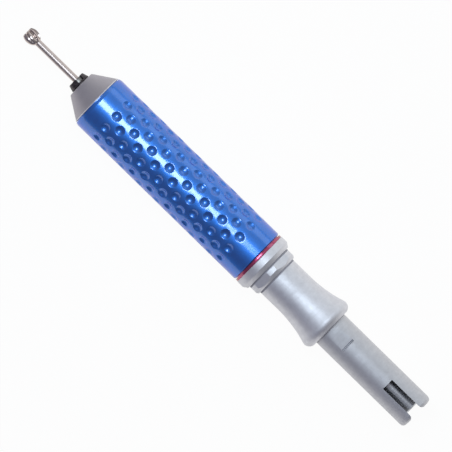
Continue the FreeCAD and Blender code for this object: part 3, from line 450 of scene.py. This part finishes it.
def ground_steel(name, colour, roughness):
    """Hardened steel, ground round: cool, with very fine lines round the axis."""
    material = new_finish(name, Metallic=1.0, Base_Color=(*linear(colour), 1))
    # Grinding lines are a few hundredths of a millimetre apart; 0.6 mm is the finest that shows in the slot
    sheen = (roughness - 0.05, roughness + 0.05)
    vary(material, 0.6, detail=1.0, stretch=(1, 0.03, 0.03), roughness=sheen, relief=0.0006)
    return material


def bearing_steel():
    """Bearing steel, lapped to a mirror, with a faint smear of oil."""
    material = new_finish("bearing_steel", Metallic=1.0, Base_Color=(*linear("#D8D9DC"), 1))
    vary(material, 2.0, roughness=(0.06, 0.12))
    return material


def stamped_brass():
    """Sheet brass, stamped: yellow, with a slightly dull skin."""
    material = new_finish("stamped_brass", Metallic=1.0)
    vary(material, 1.5, colours=(linear("#B08A48"), linear("#D8B468")), roughness=(0.28, 0.4))
    return material


def spring_wire():
    """Spring steel, drawn: grey with a dark oiled tone."""
    material = new_finish("spring_wire", Metallic=1.0)
    vary(material, 1.0, colours=(linear("#77787A"), linear("#9C9DA0")), roughness=(0.25, 0.35))
    return material


def turned_aluminium():
    """Aluminium, turned and left bare: pale with visible tool rings."""
    material = new_finish("turned_aluminium", Metallic=1.0, Base_Color=(*linear("#D4D6D8"), 1))
    # The tool's rings are drawn as coarse as on the satin steel
    vary(material, 0.3, detail=1.0, stretch=(1, 0.02, 0.02), roughness=(0.3, 0.4), relief=0.001)
    return material


def nitrile_rubber():
    """Nitrile rubber, moulded: black and matt with a faint grey bloom."""
    material = new_finish("nitrile_rubber", Metallic=0.0, IOR=1.52)
    vary(material, 0.6, colours=(linear("#161617"), linear("#2A2A2C")), roughness=(0.55, 0.7))
    return material


def bur_steel(name, colour, roughness):
    """Tool steel, hardened: bright, with a faint straw tint from the heat."""
    material = new_finish(name, Metallic=1.0)
    vary(material, 4.0, colours=(toned(colour, 0.92), toned(colour, 1.05)))
    # Grinding lines are a few hundredths of a millimetre apart; 1.2 mm is broad enough to show on the shank
    sheen = (roughness - 0.02, roughness + 0.02)
    vary(material, 1.2, detail=1.0, stretch=(1, 0.1, 0.1), roughness=sheen)
    return material


# Sizes and colours that a user may change


def length_property(name, description, default):
    """A length in metres."""
    return bpy.props.FloatProperty(
        name=name, description=description, default=default, min=0.0, unit="LENGTH", precision=5
    )


def colour_property(name, description, default):
    """A colour whose default is an sRGB hex value."""
    return bpy.props.FloatVectorProperty(
        name=name, description=description, default=linear(default), min=0.0, max=1.0, subtype="COLOR"
    )


def angle_property(name, description, default):
    """An angle whose default is in degrees."""
    return bpy.props.FloatProperty(
        name=name, description=description, default=math.radians(default), subtype="ANGLE"
    )


def brightness_property(name, description, default):
    """A radiance, where 1 is white."""
    return bpy.props.FloatProperty(name=name, description=description, default=default, min=0.0)


class HandpieceSettings(bpy.types.PropertyGroup):
    """Sizes and colours of the handpiece."""

    edge_round: length_property("Edge rounding", "Rounding of the turned pieces' edges", 0.2 * MM)
    fine_edge: length_property("Fine edge", "Break of the edges at slots and notches", 0.08 * MM)
    pit_radius: length_property("Pit radius", "Rim radius of a pit in the grip", 1.7 * MM)
    pit_ball: length_property("Pit bottom", "Radius of the ball that fits a pit's bottom", 2.1 * MM)
    pit_slope: angle_property("Pit wall", "Slope of a pit's wall", 32)
    pit_rim: length_property("Pit rim", "Rounding of a pit's rim", 0.6 * MM)
    blue_colour: colour_property("Grip", "Dye of the grip sleeve", "#2076D6")
    red_colour: colour_property("Index ring", "Dye of the index ring", "#B02E62")
    steel_colour: colour_property("Nose", "Blasted steel of the nose cone", "#B4B0B6")
    satin_colour: colour_property("Collar", "Satin steel of the collar and the twist sleeve", "#DDDDE1")
    tail_colour: colour_property("Tail", "Matt steel of the tail", "#D1D1D4")
    bur_colour: colour_property("Bur", "Polished steel of the bur", "#C6B9B3")


class StageSettings(bpy.types.PropertyGroup):
    """Camera, lamps and floor."""

    camera_distance: length_property("Camera distance", "From the handpiece's axis up to the camera", 2.5)
    lamp_radiance: brightness_property("Soft lamp", "Brightness of the soft lamp over the grip", 11.5)
    lamp_tilt: angle_property("Soft lamp's tilt", "Lean of the soft lamp from upright to the lit side", 6)
    window_radiance: brightness_property("Window", "Brightness of the window on the lit side", 0.9)
    window_tilt: angle_property("Window's tilt", "Lean of the window from upright to the lit side", 69)
    lit_side: brightness_property("Lit side", "Brightness of the room on the lit side", 0.52)
    shaded_side: brightness_property("Shaded side", "Brightness of the room on the other side", 0.28)
    floor_glow: bpy.props.FloatProperty(
        name="Floor whiteness",
        description="Share of plain white in the floor as the camera sees it",
        default=0.96,
        min=0.0,
        max=1.0,
        subtype="FACTOR",
    )


# Pieces


class HANDPIECE_OT_bur(bpy.types.Operator):
    """Round bur: twisted cutting blades on a ball, and a plain shank"""

    bl_idname = "handpiece.bur"
    bl_label = "Bur"

    blades = 8
    points_a_blade = 18
    flute_depth = 0.62 * MM
    twist = math.radians(24)
    # Share of the head's length at which it is widest, share of its radius that its flat face takes up, and
    # shares of the face's radius at which the face has rings of points
    widest = 0.53
    face = 0.7
    face_rings = (0, 0.15, 0.35, 0.55, 0.8)
    # For both arcs of the outline: how far along it a middle point lies, how far out, and the arc's steps
    front_bulge = (0.32, 0.905, 10)
    rear_bulge = (0.62, 0.81, 12)
    # The flutes run out in this middle share of the radius, and in this last share of the length
    face_run_out = 0.35
    neck_run_out = 0.25

    def execute(self, context):
        settings = context.scene.handpiece
        colour = tuple(settings.bur_colour)
        tip, neck, radius = reach("bur_head")
        shank_front, shank_end, shank_radius = reach("bur_shank")
        middle = tip + self.widest * (neck - tip)
        face_edge = self.face * radius
        front = self.arc((tip, face_edge), (middle, radius), radius, self.front_bulge)
        rear = self.arc((middle, radius), (neck, shank_radius), radius, self.rear_bulge)
        meridian = [Vector((tip, share * face_edge)) for share in self.face_rings] + front + rear[1:]
        mesh = bmesh.new()
        rings = []
        count = self.blades * self.points_a_blade
        for index, here in enumerate(meridian):
            before = meridian[max(index - 1, 0)]
            after = meridian[min(index + 1, len(meridian) - 1)]
            run = (after - before).normalized()
            inward = Vector((run.y, -run.x))
            share = (here.x - tip) / (neck - tip)
            fade = min(1.0, here.y / (self.face_run_out * radius)) * min(1.0, (1 - share) / self.neck_run_out)
            ring = []
            for step in range(count):
                phase = (step % self.points_a_blade) / self.points_a_blade
                depth = self.flute_depth * fade * self.flute(phase)
                angle = 2 * math.pi * step / count + self.twist * share
                along, out = here + inward * depth
                if here.y < ON_AXIS:
                    out = 0
                ring.append(mesh.verts.new(round_axis(along, out, angle)))
            rings.append(ring)
        join_rings(mesh, rings)
        mesh.faces.new(rings[-1])
        polished = bur_steel("polished_bur_steel", colour, roughness=0.2)
        place(mesh_object("bur_cutting_head", mesh), "bur_head", polished)
        edge = settings.edge_round
        shank = turned(
            "bur_plain_shank",
            [
                (shank_front, 0),
                (shank_front, shank_radius),
                (shank_end, shank_radius, edge),
                (shank_end, 0),
            ],
        )
        place(shank, "bur_shank", bur_steel("ground_bur_steel", colour, roughness=0.4))
        return {"FINISHED"}

    @staticmethod
    def arc(start, end, radius, bulge):
        """Points of one arc of the head's outline."""
        along, out, steps = bulge
        return arc_points(start, end, (start[0] + along * (end[0] - start[0]), out * radius), steps)

    @staticmethod
    def flute(phase):
        """Depth of a flute behind its cutting edge: a steep face, a floor and a rounded back."""
        face_end = 0.16
        floor_end = 0.34
        back_curve = 1.6
        if phase < face_end:
            return phase / face_end
        if phase < floor_end:
            return 1.0
        rise = (phase - floor_end) / (1 - floor_end)
        return (1 - rise) ** back_curve


class HANDPIECE_OT_nose(bpy.types.Operator):
    """Blasted nose cone and the blackened cap with spanner notches"""

    bl_idname = "handpiece.nose"
    bl_label = "Nose"

    cap_front_radius = 3.05 * MM
    cap_mouth_radius = 2.5 * MM
    cap_lip = 0.4 * MM
    cap_thread_radius = 2.77 * MM
    notch_width = 2.3 * MM
    notch_length = 1.6 * MM
    notch_floor = 2.3 * MM
    notch_turn = math.radians(-18)
    cone_front_radius = 4.98 * MM
    cone_length = 7.5 * MM
    cone_lip_length = 0.35 * MM
    cone_lip_drop = 0.4 * MM
    cone_bore = 3.1 * MM
    seal_pocket = 5.5 * MM
    cone_wall = 3.1 * MM
    spigot_radius = 7.0 * MM

    def execute(self, context):
        settings = context.scene.handpiece
        edge = settings.edge_round
        front, rear, radius = reach("nose_cone")
        shoulder = front + self.cone_length
        cone = turned(
            "nose_cone_blasted",
            [
                (front, self.cone_bore, edge),
                (front, self.cone_front_radius, 2 * edge),
                (shoulder - self.cone_lip_length, radius - self.cone_lip_drop, edge / 2),
                (shoulder, radius, edge / 2),
                (shoulder, self.spigot_radius),
                (rear, self.spigot_radius),
                (rear, self.seal_pocket),
                (front + self.cone_wall, self.seal_pocket),
                (front + self.cone_wall, self.cone_bore),
            ],
        )
        place(cone, "nose_cone", blasted_steel(settings))
        refinish(cone, satin_turned_steel(settings), shoulder - self.cone_lip_length, shoulder)
        cap_front, cap_rear, cap_radius = reach("nose_cap")
        cap = turned(
            "nose_cap_notched",
            [
                (cap_front, self.cap_mouth_radius, edge / 2),
                (cap_front, self.cap_front_radius, edge),
                (cap_rear, cap_radius, edge),
                (cap_rear, self.cap_thread_radius),
                (cap_front + self.cap_lip, self.cap_thread_radius),
                (cap_front + self.cap_lip, self.cap_mouth_radius),
            ],
        )
        half = self.notch_width / 2
        notch_end = cap_front + self.notch_length
        notch = rectangle(cap_front - edge, notch_end, self.notch_floor, 2 * cap_radius)
        for half_turn in (0, math.pi):
            cut(cap, prism("notch", notch, -half, half, self.notch_turn + half_turn))
        soften(cap, settings.fine_edge)
        place(cap, "nose_cap", blackened_steel())
        return {"FINISHED"}


class HANDPIECE_OT_grip(bpy.types.Operator):
    """Blue grip sleeve with staggered rings of round pits, and the red ring behind it"""

    bl_idname = "handpiece.grip"
    bl_label = "Grip"

    bore = 8.6 * MM
    bevel_length = 1.2 * MM
    bevel_drop = 0.26 * MM
    rear_bevel = 0.35 * MM
    seam_length = 0.25 * MM
    seam_depth = 0.8 * MM
    first_ring = 8.52 * MM
    ring_step = 4.04 * MM
    rings = 15
    pits_round = 12
    first_angle = math.radians(85.8)
    tile_points_round = 12
    tile_points_along = 8
    bottom_steps = 6
    rim_steps = 3

    def execute(self, context):
        settings = context.scene.handpiece
        front, rear, radius = reach("grip_sleeve")
        edge = settings.edge_round
        mesh = bmesh.new()
        for ring in range(self.rings):
            centre = front + self.first_ring + ring * self.ring_step
            for pit in range(self.pits_round):
                stagger = 0.5 * (ring % 2)
                angle = self.first_angle + 2 * math.pi * (pit + stagger) / self.pits_round
                self.add_tile(mesh, settings, centre, angle, radius)
        first_edge = front + self.first_ring - self.ring_step / 2
        last_edge = first_edge + self.rings * self.ring_step
        front_radius = radius - self.bevel_drop
        ends = rounded(
            [
                (first_edge, radius),
                (front + self.bevel_length, radius, 2 * edge),
                (front + self.seam_length, front_radius),
                (front + self.seam_length, front_radius - self.seam_depth),
                (front, front_radius - self.seam_depth),
                (front, self.bore),
                (rear, self.bore),
                (rear, radius - self.rear_bevel, edge / 2),
                (rear - self.rear_bevel, radius, edge / 2),
                (last_edge, radius),
            ]
        )
        tile_edge = self.first_angle - math.pi / self.pits_round
        count = self.pits_round * self.tile_points_round
        turn_outline(mesh, ends, closed=False, count=count, first_angle=tile_edge)
        blue = anodised_aluminium("anodised_aluminium_blue", tuple(settings.blue_colour), roughness=0.46)
        place(mesh_object("grip_sleeve_dimpled", mesh), "grip_sleeve", blue)
        ring_front, ring_rear, ring_radius = reach("index_ring")
        seam = ring_radius - self.seam_depth
        index = turned(
            "index_ring_red",
            [
                (ring_front, self.bore),
                (ring_front, seam),
                (ring_front + self.seam_length, seam),
                (ring_front + self.seam_length, ring_radius, edge / 2),
                (ring_rear, ring_radius, edge / 2),
                (ring_rear, self.bore),
            ],
        )
        red = anodised_aluminium("anodised_aluminium_red", tuple(settings.red_colour), roughness=0.34)
        place(index, "index_ring", red)
        return {"FINISHED"}

    def add_tile(self, mesh, settings, centre, angle, radius):
        """One pit with the land round it, as rings of points that run out to a rectangular tile."""
        border = self.tile_border(self.ring_step / 2, math.pi / self.pits_round * radius)
        levels = self.pit_levels(settings)
        rows = []
        for level, depth in levels[1:]:
            row = []
            for along, around in border:
                size = math.hypot(along, around)
                row.append((along / size * level, around / size * level, depth))
            rows.append(row)
        rows.append([(along, around, 0.0) for along, around in border])
        rings = []
        for row in rows:
            places = [round_axis(centre + x, radius - depth, angle + y / radius) for x, y, depth in row]
            rings.append([mesh.verts.new(place) for place in places])
        middle = mesh.verts.new(round_axis(centre, radius - levels[0][1], angle))
        join_rings(mesh, [[middle] * len(border)] + rings)

    def tile_border(self, half_length, half_round):
        """Points round a tile, evenly spaced along each side."""
        corners = [(-1, -1), (1, -1), (1, 1), (-1, 1)]
        counts = [self.tile_points_along, self.tile_points_round] * 2
        points = []
        for index, count in enumerate(counts):
            first = corners[index]
            last = corners[(index + 1) % len(corners)]
            for step in range(count):
                share = step / count
                along = first[0] + (last[0] - first[0]) * share
                around = first[1] + (last[1] - first[1]) * share
                points.append((along * half_length, around * half_round))
        return points

    def pit_levels(self, settings):
        """Distances from a pit's centre and the depths there: round bottom, straight wall, round rim."""
        rim, ball, slope = settings.pit_radius, settings.pit_ball, settings.pit_slope
        rounding = settings.pit_rim
        wall_foot = ball * math.sin(slope)
        wall_middle = (wall_foot + rim) / 2
        deep = (rim - wall_foot) * math.tan(slope) + ball * (1 - math.cos(slope))
        levels = []
        for step in range(self.bottom_steps + 1):
            lean = slope * step / self.bottom_steps
            levels.append((ball * math.sin(lean), deep - ball * (1 - math.cos(lean))))
        levels.append((wall_middle, (rim - wall_middle) * math.tan(slope)))
        tangent = rounding * math.tan(slope / 2)
        for step in range(self.rim_steps + 1):
            lean = slope * (1 - step / self.rim_steps)
            levels.append((rim + tangent - rounding * math.sin(lean), rounding * (1 - math.cos(lean))))
        return levels


class HANDPIECE_OT_collar(bpy.types.Operator):
    """Satin rear collar, twist ring and twist sleeve"""

    bl_idname = "handpiece.collar"
    bl_label = "Collar and twist sleeve"

    head_length = 4.1 * MM
    collar_land = 2.6 * MM
    collar_rear_radius = 9.34 * MM
    spigot_radius = 8.55 * MM
    spigot_bore = 8.1 * MM
    collar_bore = 7.6 * MM
    shoulder_inset = 0.2 * MM
    ring_rim = 0.5 * MM
    ring_rim_radius = 8.75 * MM
    ring_land = 1.9 * MM
    ring_flats = 6
    ring_flat_share = 0.94
    ring_step = 0.6 * MM
    ring_step_radius = 8.2 * MM
    gap_reach = 0.05 * MM
    ring_bore = 7.52 * MM
    neck_radius = 7.62 * MM

    def execute(self, context):
        settings = context.scene.handpiece
        edge = settings.edge_round
        steel = satin_turned_steel(settings)
        front, rear, radius = reach("rear_collar")
        head = rear - self.head_length
        inner = head - self.shoulder_inset
        collar = turned(
            "rear_collar_satin",
            [
                (front, self.spigot_bore),
                (front, self.spigot_radius),
                (head, self.spigot_radius),
                (head, radius, edge),
                (head + self.collar_land, radius, edge),
                (rear, self.collar_rear_radius, edge),
                (rear, self.collar_bore),
                (inner, self.collar_bore),
                (inner, self.spigot_bore),
            ],
        )
        place(collar, "rear_collar", steel)
        ring_front, ring_rear, ring_radius = reach("twist_ring")
        land = ring_front + self.ring_rim
        ring = turned(
            "twist_ring_satin",
            [
                (ring_front, self.ring_bore),
                (ring_front, self.ring_rim_radius),
                (land, self.ring_rim_radius),
                (land, ring_radius, edge / 2),
                (land + self.ring_land, ring_radius, edge),
                (ring_rear - self.ring_step, self.ring_step_radius),
                (ring_rear - self.ring_step, self.neck_radius),
                (ring_rear, self.neck_radius),
                (ring_rear, self.ring_bore),
            ],
        )
        beyond = 2 * ring_radius
        flat = rectangle(land, ring_rear, self.ring_flat_share * ring_radius, beyond)
        for index in range(self.ring_flats):
            cut(ring, prism("flat", flat, -beyond, beyond, (index + 0.5) * 2 * math.pi / self.ring_flats))
        soften(ring, settings.fine_edge)
        place(ring, "twist_ring", steel)
        # Painted shade: the ring's front rim and rear step take the dull grey that stands for the shade in
        # the gaps
        dark = painted_gap_shade()
        refinish(ring, dark, ring_front - self.gap_reach, land - self.gap_reach)
        refinish(ring, dark, ring_rear - self.ring_step + self.gap_reach, ring_rear + self.gap_reach)
        finish_node("twist_sleeve", steel)
        return {"FINISHED"}


class HANDPIECE_OT_tail(bpy.types.Operator):
    """Satin slip-joint tail with its detent ramp and key slots, and the drive dog inside it"""

    bl_idname = "handpiece.tail"
    bl_label = "Tail"

    journal_radius = 6.3 * MM
    bore = 5.02 * MM
    end_round = 1.4 * MM
    key_slot_length = 13.8 * MM
    key_slot_width = 4.2 * MM
    key_mouth_round = 1.5 * MM
    # Cutters stand this far out of the tail, and a slot's rounded mouth this far, so that no points coincide
    overhang = 1.0 * MM
    mouth_overhang = 0.02 * MM
    detent_start = 3.1 * MM
    detent_length = 5.15 * MM
    detent_depth = 0.56 * MM
    relief_length = 0.75 * MM
    relief_bottom = 0.25 * MM
    relief_depth = 0.5 * MM
    relief_reach = 2.55 * MM
    release_bore = 5.0 * MM
    spindle_bore = 4.6 * MM
    o_ring_back = 5.25 * MM
    o_ring_groove = 1.5 * MM
    o_ring_floor = 5.2 * MM
    release_end = -26.5 * MM
    bearing_pocket = 19.0 * MM
    snap_groove = 22.0 * MM
    snap_groove_width = 0.8 * MM
    snap_groove_radius = 5.3 * MM
    cam_slot_front = -31.4 * MM
    cam_slot_rear = -30.2 * MM
    cam_slot_half_width = 1.08 * MM

    def execute(self, context):
        settings = context.scene.handpiece
        front, end, radius = reach("tail_tube")
        groove_front = -self.o_ring_back - self.o_ring_groove / 2
        groove_rear = groove_front + self.o_ring_groove
        snap_rear = self.snap_groove + self.snap_groove_width
        tube = turned(
            "tail_tube_satin",
            [
                (front, self.release_bore),
                (front, self.journal_radius),
                (groove_front, self.journal_radius),
                (groove_front, self.o_ring_floor),
                (groove_rear, self.o_ring_floor),
                (groove_rear, self.journal_radius),
                (0, self.journal_radius),
                (0, radius, settings.edge_round / 2),
                (end, radius, self.end_round),
                (end, self.bore),
                (snap_rear, self.bore),
                (snap_rear, self.snap_groove_radius),
                (self.snap_groove, self.snap_groove_radius),
                (self.snap_groove, self.bore),
                (self.bearing_pocket, self.bore),
                (self.bearing_pocket, self.spindle_bore),
                (self.release_end, self.spindle_bore),
                (self.release_end, self.release_bore),
            ],
        )
        beyond = 2 * radius
        half = self.key_slot_width / 2
        mouth = end + self.mouth_overhang
        above = radius + self.overhang
        slot = rounded(
            [
                (end - self.key_slot_length, -half),
                (end - self.key_slot_length, half),
                (mouth, half, self.key_mouth_round),
                (mouth, beyond),
                (end + self.overhang, beyond),
                (end + self.overhang, -beyond),
                (mouth, -beyond),
                (mouth, -half, self.key_mouth_round),
            ]
        )
        cut(tube, prism("key_slots", slot, -beyond, beyond, math.pi / 2))
        ramp_end = self.detent_start + self.detent_length
        ramp = [
            (self.detent_start, radius),
            (ramp_end, radius - self.detent_depth),
            (ramp_end, above),
            (self.detent_start, above),
        ]
        cut(tube, prism("detent", ramp, -beyond, beyond))
        foot = radius - self.detent_depth
        relief_start = ramp_end - self.relief_length
        relief = [
            (relief_start, foot),
            (ramp_end - self.relief_bottom, foot - self.relief_depth),
            (ramp_end, foot),
            (ramp_end, above),
            (relief_start, above),
        ]
        cut(tube, prism("detent_relief", relief, -self.relief_reach, self.relief_reach))
        cam = stadium(self.cam_slot_front, self.cam_slot_rear, self.cam_slot_half_width)
        cut(tube, prism("cam_slots", cam, -beyond, beyond))
        soften(tube, settings.fine_edge)
        place(tube, "tail_tube", matt_turned_steel(settings))
        finish_node("drive_dog", ground_steel("ground_steel", "#B9BBBF", roughness=0.29))
        return {"FINISHED"}


class HANDPIECE_OT_inner_pieces(bpy.types.Operator):
    """Finishes of the spindle, chuck, bearings, seals and housing pieces, which keep their CAD shapes"""

    bl_idname = "handpiece.inner_pieces"
    bl_label = "Inner pieces"

    def execute(self, context):
        bearings = ("front_bearing", "rear_bearing", "tail_bearing")
        races = tuple(f"{name}_{part}" for name in bearings for part in ("outer_ring", "inner_ring", "balls"))
        running = ("spindle", "collet", "drawbar", "spring_nut", "draw_ring")
        finishes = {
            ground_steel("oiled_ground_steel", "#8A8784", roughness=0.42): running,
            bearing_steel(): ("draw_pin", "dog_pin", "cam_pins") + races,
            stamped_brass(): ("release_collar",) + tuple(f"{name}_cage" for name in bearings),
            spring_wire(): ("preload_washer", "tail_snap_ring", "twist_retaining_ring"),
            blackened_steel(): ("front_bearing_nut", "rear_bearing_nut"),
            turned_aluminium(): ("spindle_housing",),
            matt_turned_steel(context.scene.handpiece): ("tail_plug",),
            nitrile_rubber(): ("nose_seal", "sleeve_o_ring"),
        }
        for material, nodes in finishes.items():
            for node in nodes:
                finish_node(node, material)
        return {"FINISHED"}


class HANDPIECE_OT_chuck_spring(bpy.types.Operator):
    """Collet spring of flat wire, drawn at its rest length"""

    bl_idname = "handpiece.chuck_spring"
    bl_label = "Collet spring"

    turns = 8
    steps_a_turn = 36
    wire_width = 0.5 * MM
    wire_length = 0.6 * MM
    travel = 1.2 * MM

    def execute(self, context):
        front, rear, outer = reach("collet_spring")
        inner = outer - self.wire_width
        pitch = (rear - front - self.wire_length) / self.turns
        mesh = bmesh.new()
        sections = []
        for step in range(self.turns * self.steps_a_turn + 1):
            turn = step / self.steps_a_turn
            start = front + turn * pitch
            end = start + self.wire_length
            angle = 2 * math.pi * turn
            corners = ((start, inner), (start, outer), (end, outer), (end, inner))
            sections.append([mesh.verts.new(round_axis(along, out, angle)) for along, out in corners])
        join_rings(mesh, sections)
        mesh.faces.new(sections[0])
        mesh.faces.new(sections[-1])
        spring = mesh_object("collet_spring_wire", mesh)
        place(spring, "collet_spring", spring_wire())
        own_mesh(spring)
        return {"FINISHED"}


# Stage


class HANDPIECE_OT_stage(bpy.types.Operator):
    """Pale floor, soft lamps and the camera straight above the handpiece"""

    bl_idname = "handpiece.stage"
    bl_label = "Stage"

    view_centre = (-48.27 * MM, 0.1 * MM)
    floor_side = 2.4
    # For the lamp and for the window: place along the axis, distance from it, length along it and width
    soft_lamp = (-95 * MM, 0.32, 0.10, 0.12)
    window_light = (-60 * MM, 0.50, 0.60, 0.20)
    lamp_tint = "#E3F3FF"
    lit_tint = "#FDFDFF"
    shaded_tint = "#E2E2FF"
    # A direction's part across the axis at which the shaded side's light is full, and the lit side's
    room_fade = (-0.85, 0.9)
    # The room's light behind the tail, as a share of that at the front
    tail_share = 0.6
    sensor = 36.0

    def execute(self, context):
        stage = context.scene.handpiece_stage
        self.add_camera(context.scene, stage)
        self.add_floor(stage)
        self.add_lamp("soft_lamp", stage.lamp_radiance, stage.lamp_tilt, self.soft_lamp)
        self.add_lamp("window_light", stage.window_radiance, stage.window_tilt, self.window_light)
        self.add_room(context.scene, stage)
        context.scene.view_settings.view_transform = "Standard"
        return {"FINISHED"}

    def add_camera(self, scene, stage):
        """A camera straight above, turned so that the axis slopes as in the photograph."""
        data = bpy.data.cameras.new("Camera")
        data.sensor_width = self.sensor
        data.sensor_fit = "AUTO"
        data.lens = self.sensor * stage.camera_distance / (IMAGE_SIDE * PIXEL)
        data.clip_start = 0.01
        camera = bpy.data.objects.new("Camera", data)
        camera.location = (*self.view_centre, stage.camera_distance)
        camera.rotation_euler = (0, 0, AXIS_SLOPE)
        scene.collection.objects.link(camera)
        scene.camera = camera

    def add_floor(self, stage):
        """White paper that keeps the handpiece's shadow and shows nearly white."""
        half = self.floor_side / 2
        mesh = bmesh.new()
        corners = rectangle(-half, half, -half, half)
        mesh.faces.new([mesh.verts.new((*corner, CAD_BOX[0].z)) for corner in corners])
        floor = mesh_object("floor", mesh)
        material = bpy.data.materials.new("matt_white_paper")
        material.use_nodes = True
        tree = material.node_tree
        tree.nodes.clear()
        paper = add_node(tree, "ShaderNodeBsdfDiffuse", None, {"Color": (*linear("#F2F2F2"), 1)})
        white = add_node(tree, "ShaderNodeEmission", None, {"Color": (1, 1, 1, 1), "Strength": 1.0})
        seen = self.seen_directly(tree)
        share = add_node(tree, "ShaderNodeMath", {"operation": "MULTIPLY"}, {1: stage.floor_glow}, {0: seen})
        mixed = {0: share.outputs["Value"], 1: paper.outputs["BSDF"], 2: white.outputs["Emission"]}
        surface = add_node(tree, "ShaderNodeMixShader", None, None, mixed)
        add_node(tree, "ShaderNodeOutputMaterial", None, None, {"Surface": surface.outputs["Shader"]})
        floor.data.materials.append(material)

    @staticmethod
    def seen_directly(tree):
        """1 for rays from the camera and for those that metal or glass sends on, and 0 for diffuse light."""
        ray = add_node(tree, "ShaderNodeLightPath")
        seen = ray.outputs["Is Glossy Ray"]
        for kind in ("Is Transmission Ray", "Is Camera Ray"):
            either = add_node(
                tree, "ShaderNodeMath", {"operation": "MAXIMUM"}, None, {0: seen, 1: ray.outputs[kind]}
            )
            seen = either.outputs["Value"]
        return seen

    def add_lamp(self, name, radiance, lean, place_and_size):
        """A soft rectangular lamp that faces the axis and that the camera doesn't see."""
        along, distance, length, width = place_and_size
        data = bpy.data.lights.new(name, "AREA")
        data.shape = "RECTANGLE"
        data.size = length
        data.size_y = width
        # An area lamp's watts are its radiance times its area times pi
        data.energy = radiance * length * width * math.pi
        data.color = linear(self.lamp_tint)
        lamp = bpy.data.objects.new(name, data)
        lamp.location = (along, distance * math.sin(lean), distance * math.cos(lean))
        lamp.rotation_euler = (-lean, 0, 0)
        lamp.visible_camera = False
        bpy.context.scene.collection.objects.link(lamp)

    def add_room(self, scene, stage):
        """World light: paler on the lit side, greyer on the other and behind the tail."""
        world = bpy.data.worlds.new("room")
        world.use_nodes = True
        scene.world = world
        tree = world.node_tree
        tree.nodes.clear()
        direction = add_node(tree, "ShaderNodeTexCoord").outputs["Generated"]
        parts = add_node(tree, "ShaderNodeSeparateXYZ", None, None, {0: direction}).outputs
        across = add_node(
            tree,
            "ShaderNodeMapRange",
            {"interpolation_type": "SMOOTHSTEP"},
            {"From Min": self.room_fade[0], "From Max": self.room_fade[1]},
            {"Value": parts["Y"]},
        ).outputs["Result"]
        shaded = toned(linear(self.shaded_tint), stage.shaded_side)
        lit = toned(linear(self.lit_tint), stage.lit_side)
        sides = {6: (*shaded, 1), 7: (*lit, 1)}
        colour = add_node(tree, "ShaderNodeMix", {"data_type": "RGBA"}, sides, {"Factor": across}).outputs[2]
        ends = {"To Min": 1.0, "To Max": self.tail_share}
        strength = add_node(tree, "ShaderNodeMapRange", None, ends, {"Value": parts["X"]}).outputs["Result"]
        light = {"Color": colour, "Strength": strength}
        room = add_node(tree, "ShaderNodeBackground", None, None, light).outputs["Background"]
        add_node(tree, "ShaderNodeOutputWorld", None, None, {"Surface": room})


OPERATORS = (
    HANDPIECE_OT_bur,
    HANDPIECE_OT_nose,
    HANDPIECE_OT_grip,
    HANDPIECE_OT_collar,
    HANDPIECE_OT_tail,
    HANDPIECE_OT_inner_pieces,
    HANDPIECE_OT_chuck_spring,
    HANDPIECE_OT_stage,
)


class HANDPIECE_PT_panel(bpy.types.Panel):
    """Lists the handpiece's pieces and the stage"""

    bl_idname = "HANDPIECE_PT_panel"
    bl_label = "Handpiece"
    bl_space_type = "VIEW_3D"
    bl_region_type = "UI"
    bl_category = "Handpiece"

    def draw(self, context):
        for group in (context.scene.handpiece, context.scene.handpiece_stage):
            column = self.layout.column(align=True)
            for name in group.__annotations__:
                column.prop(group, name)
        for operator in OPERATORS:
            self.layout.operator(operator.bl_idname)


CLASSES = (HandpieceSettings, StageSettings) + OPERATORS + (HANDPIECE_PT_panel,)


def register():
    """Register the classes, and give the scene both groups of settings."""
    for item in CLASSES:
        bpy.utils.register_class(item)
    bpy.types.Scene.handpiece = bpy.props.PointerProperty(type=HandpieceSettings)
    bpy.types.Scene.handpiece_stage = bpy.props.PointerProperty(type=StageSettings)


def unregister():
    """Undo register."""
    del bpy.types.Scene.handpiece_stage
    del bpy.types.Scene.handpiece
    for item in reversed(CLASSES):
        bpy.utils.unregister_class(item)


def main():
    """Make the pieces and the stage."""
    register()
    for operator in OPERATORS:
        group, name = operator.bl_idname.split(".")
        getattr(getattr(bpy.ops, group), name)()
    bpy.context.view_layer.update()


if __name__ == "__main__":
    main()
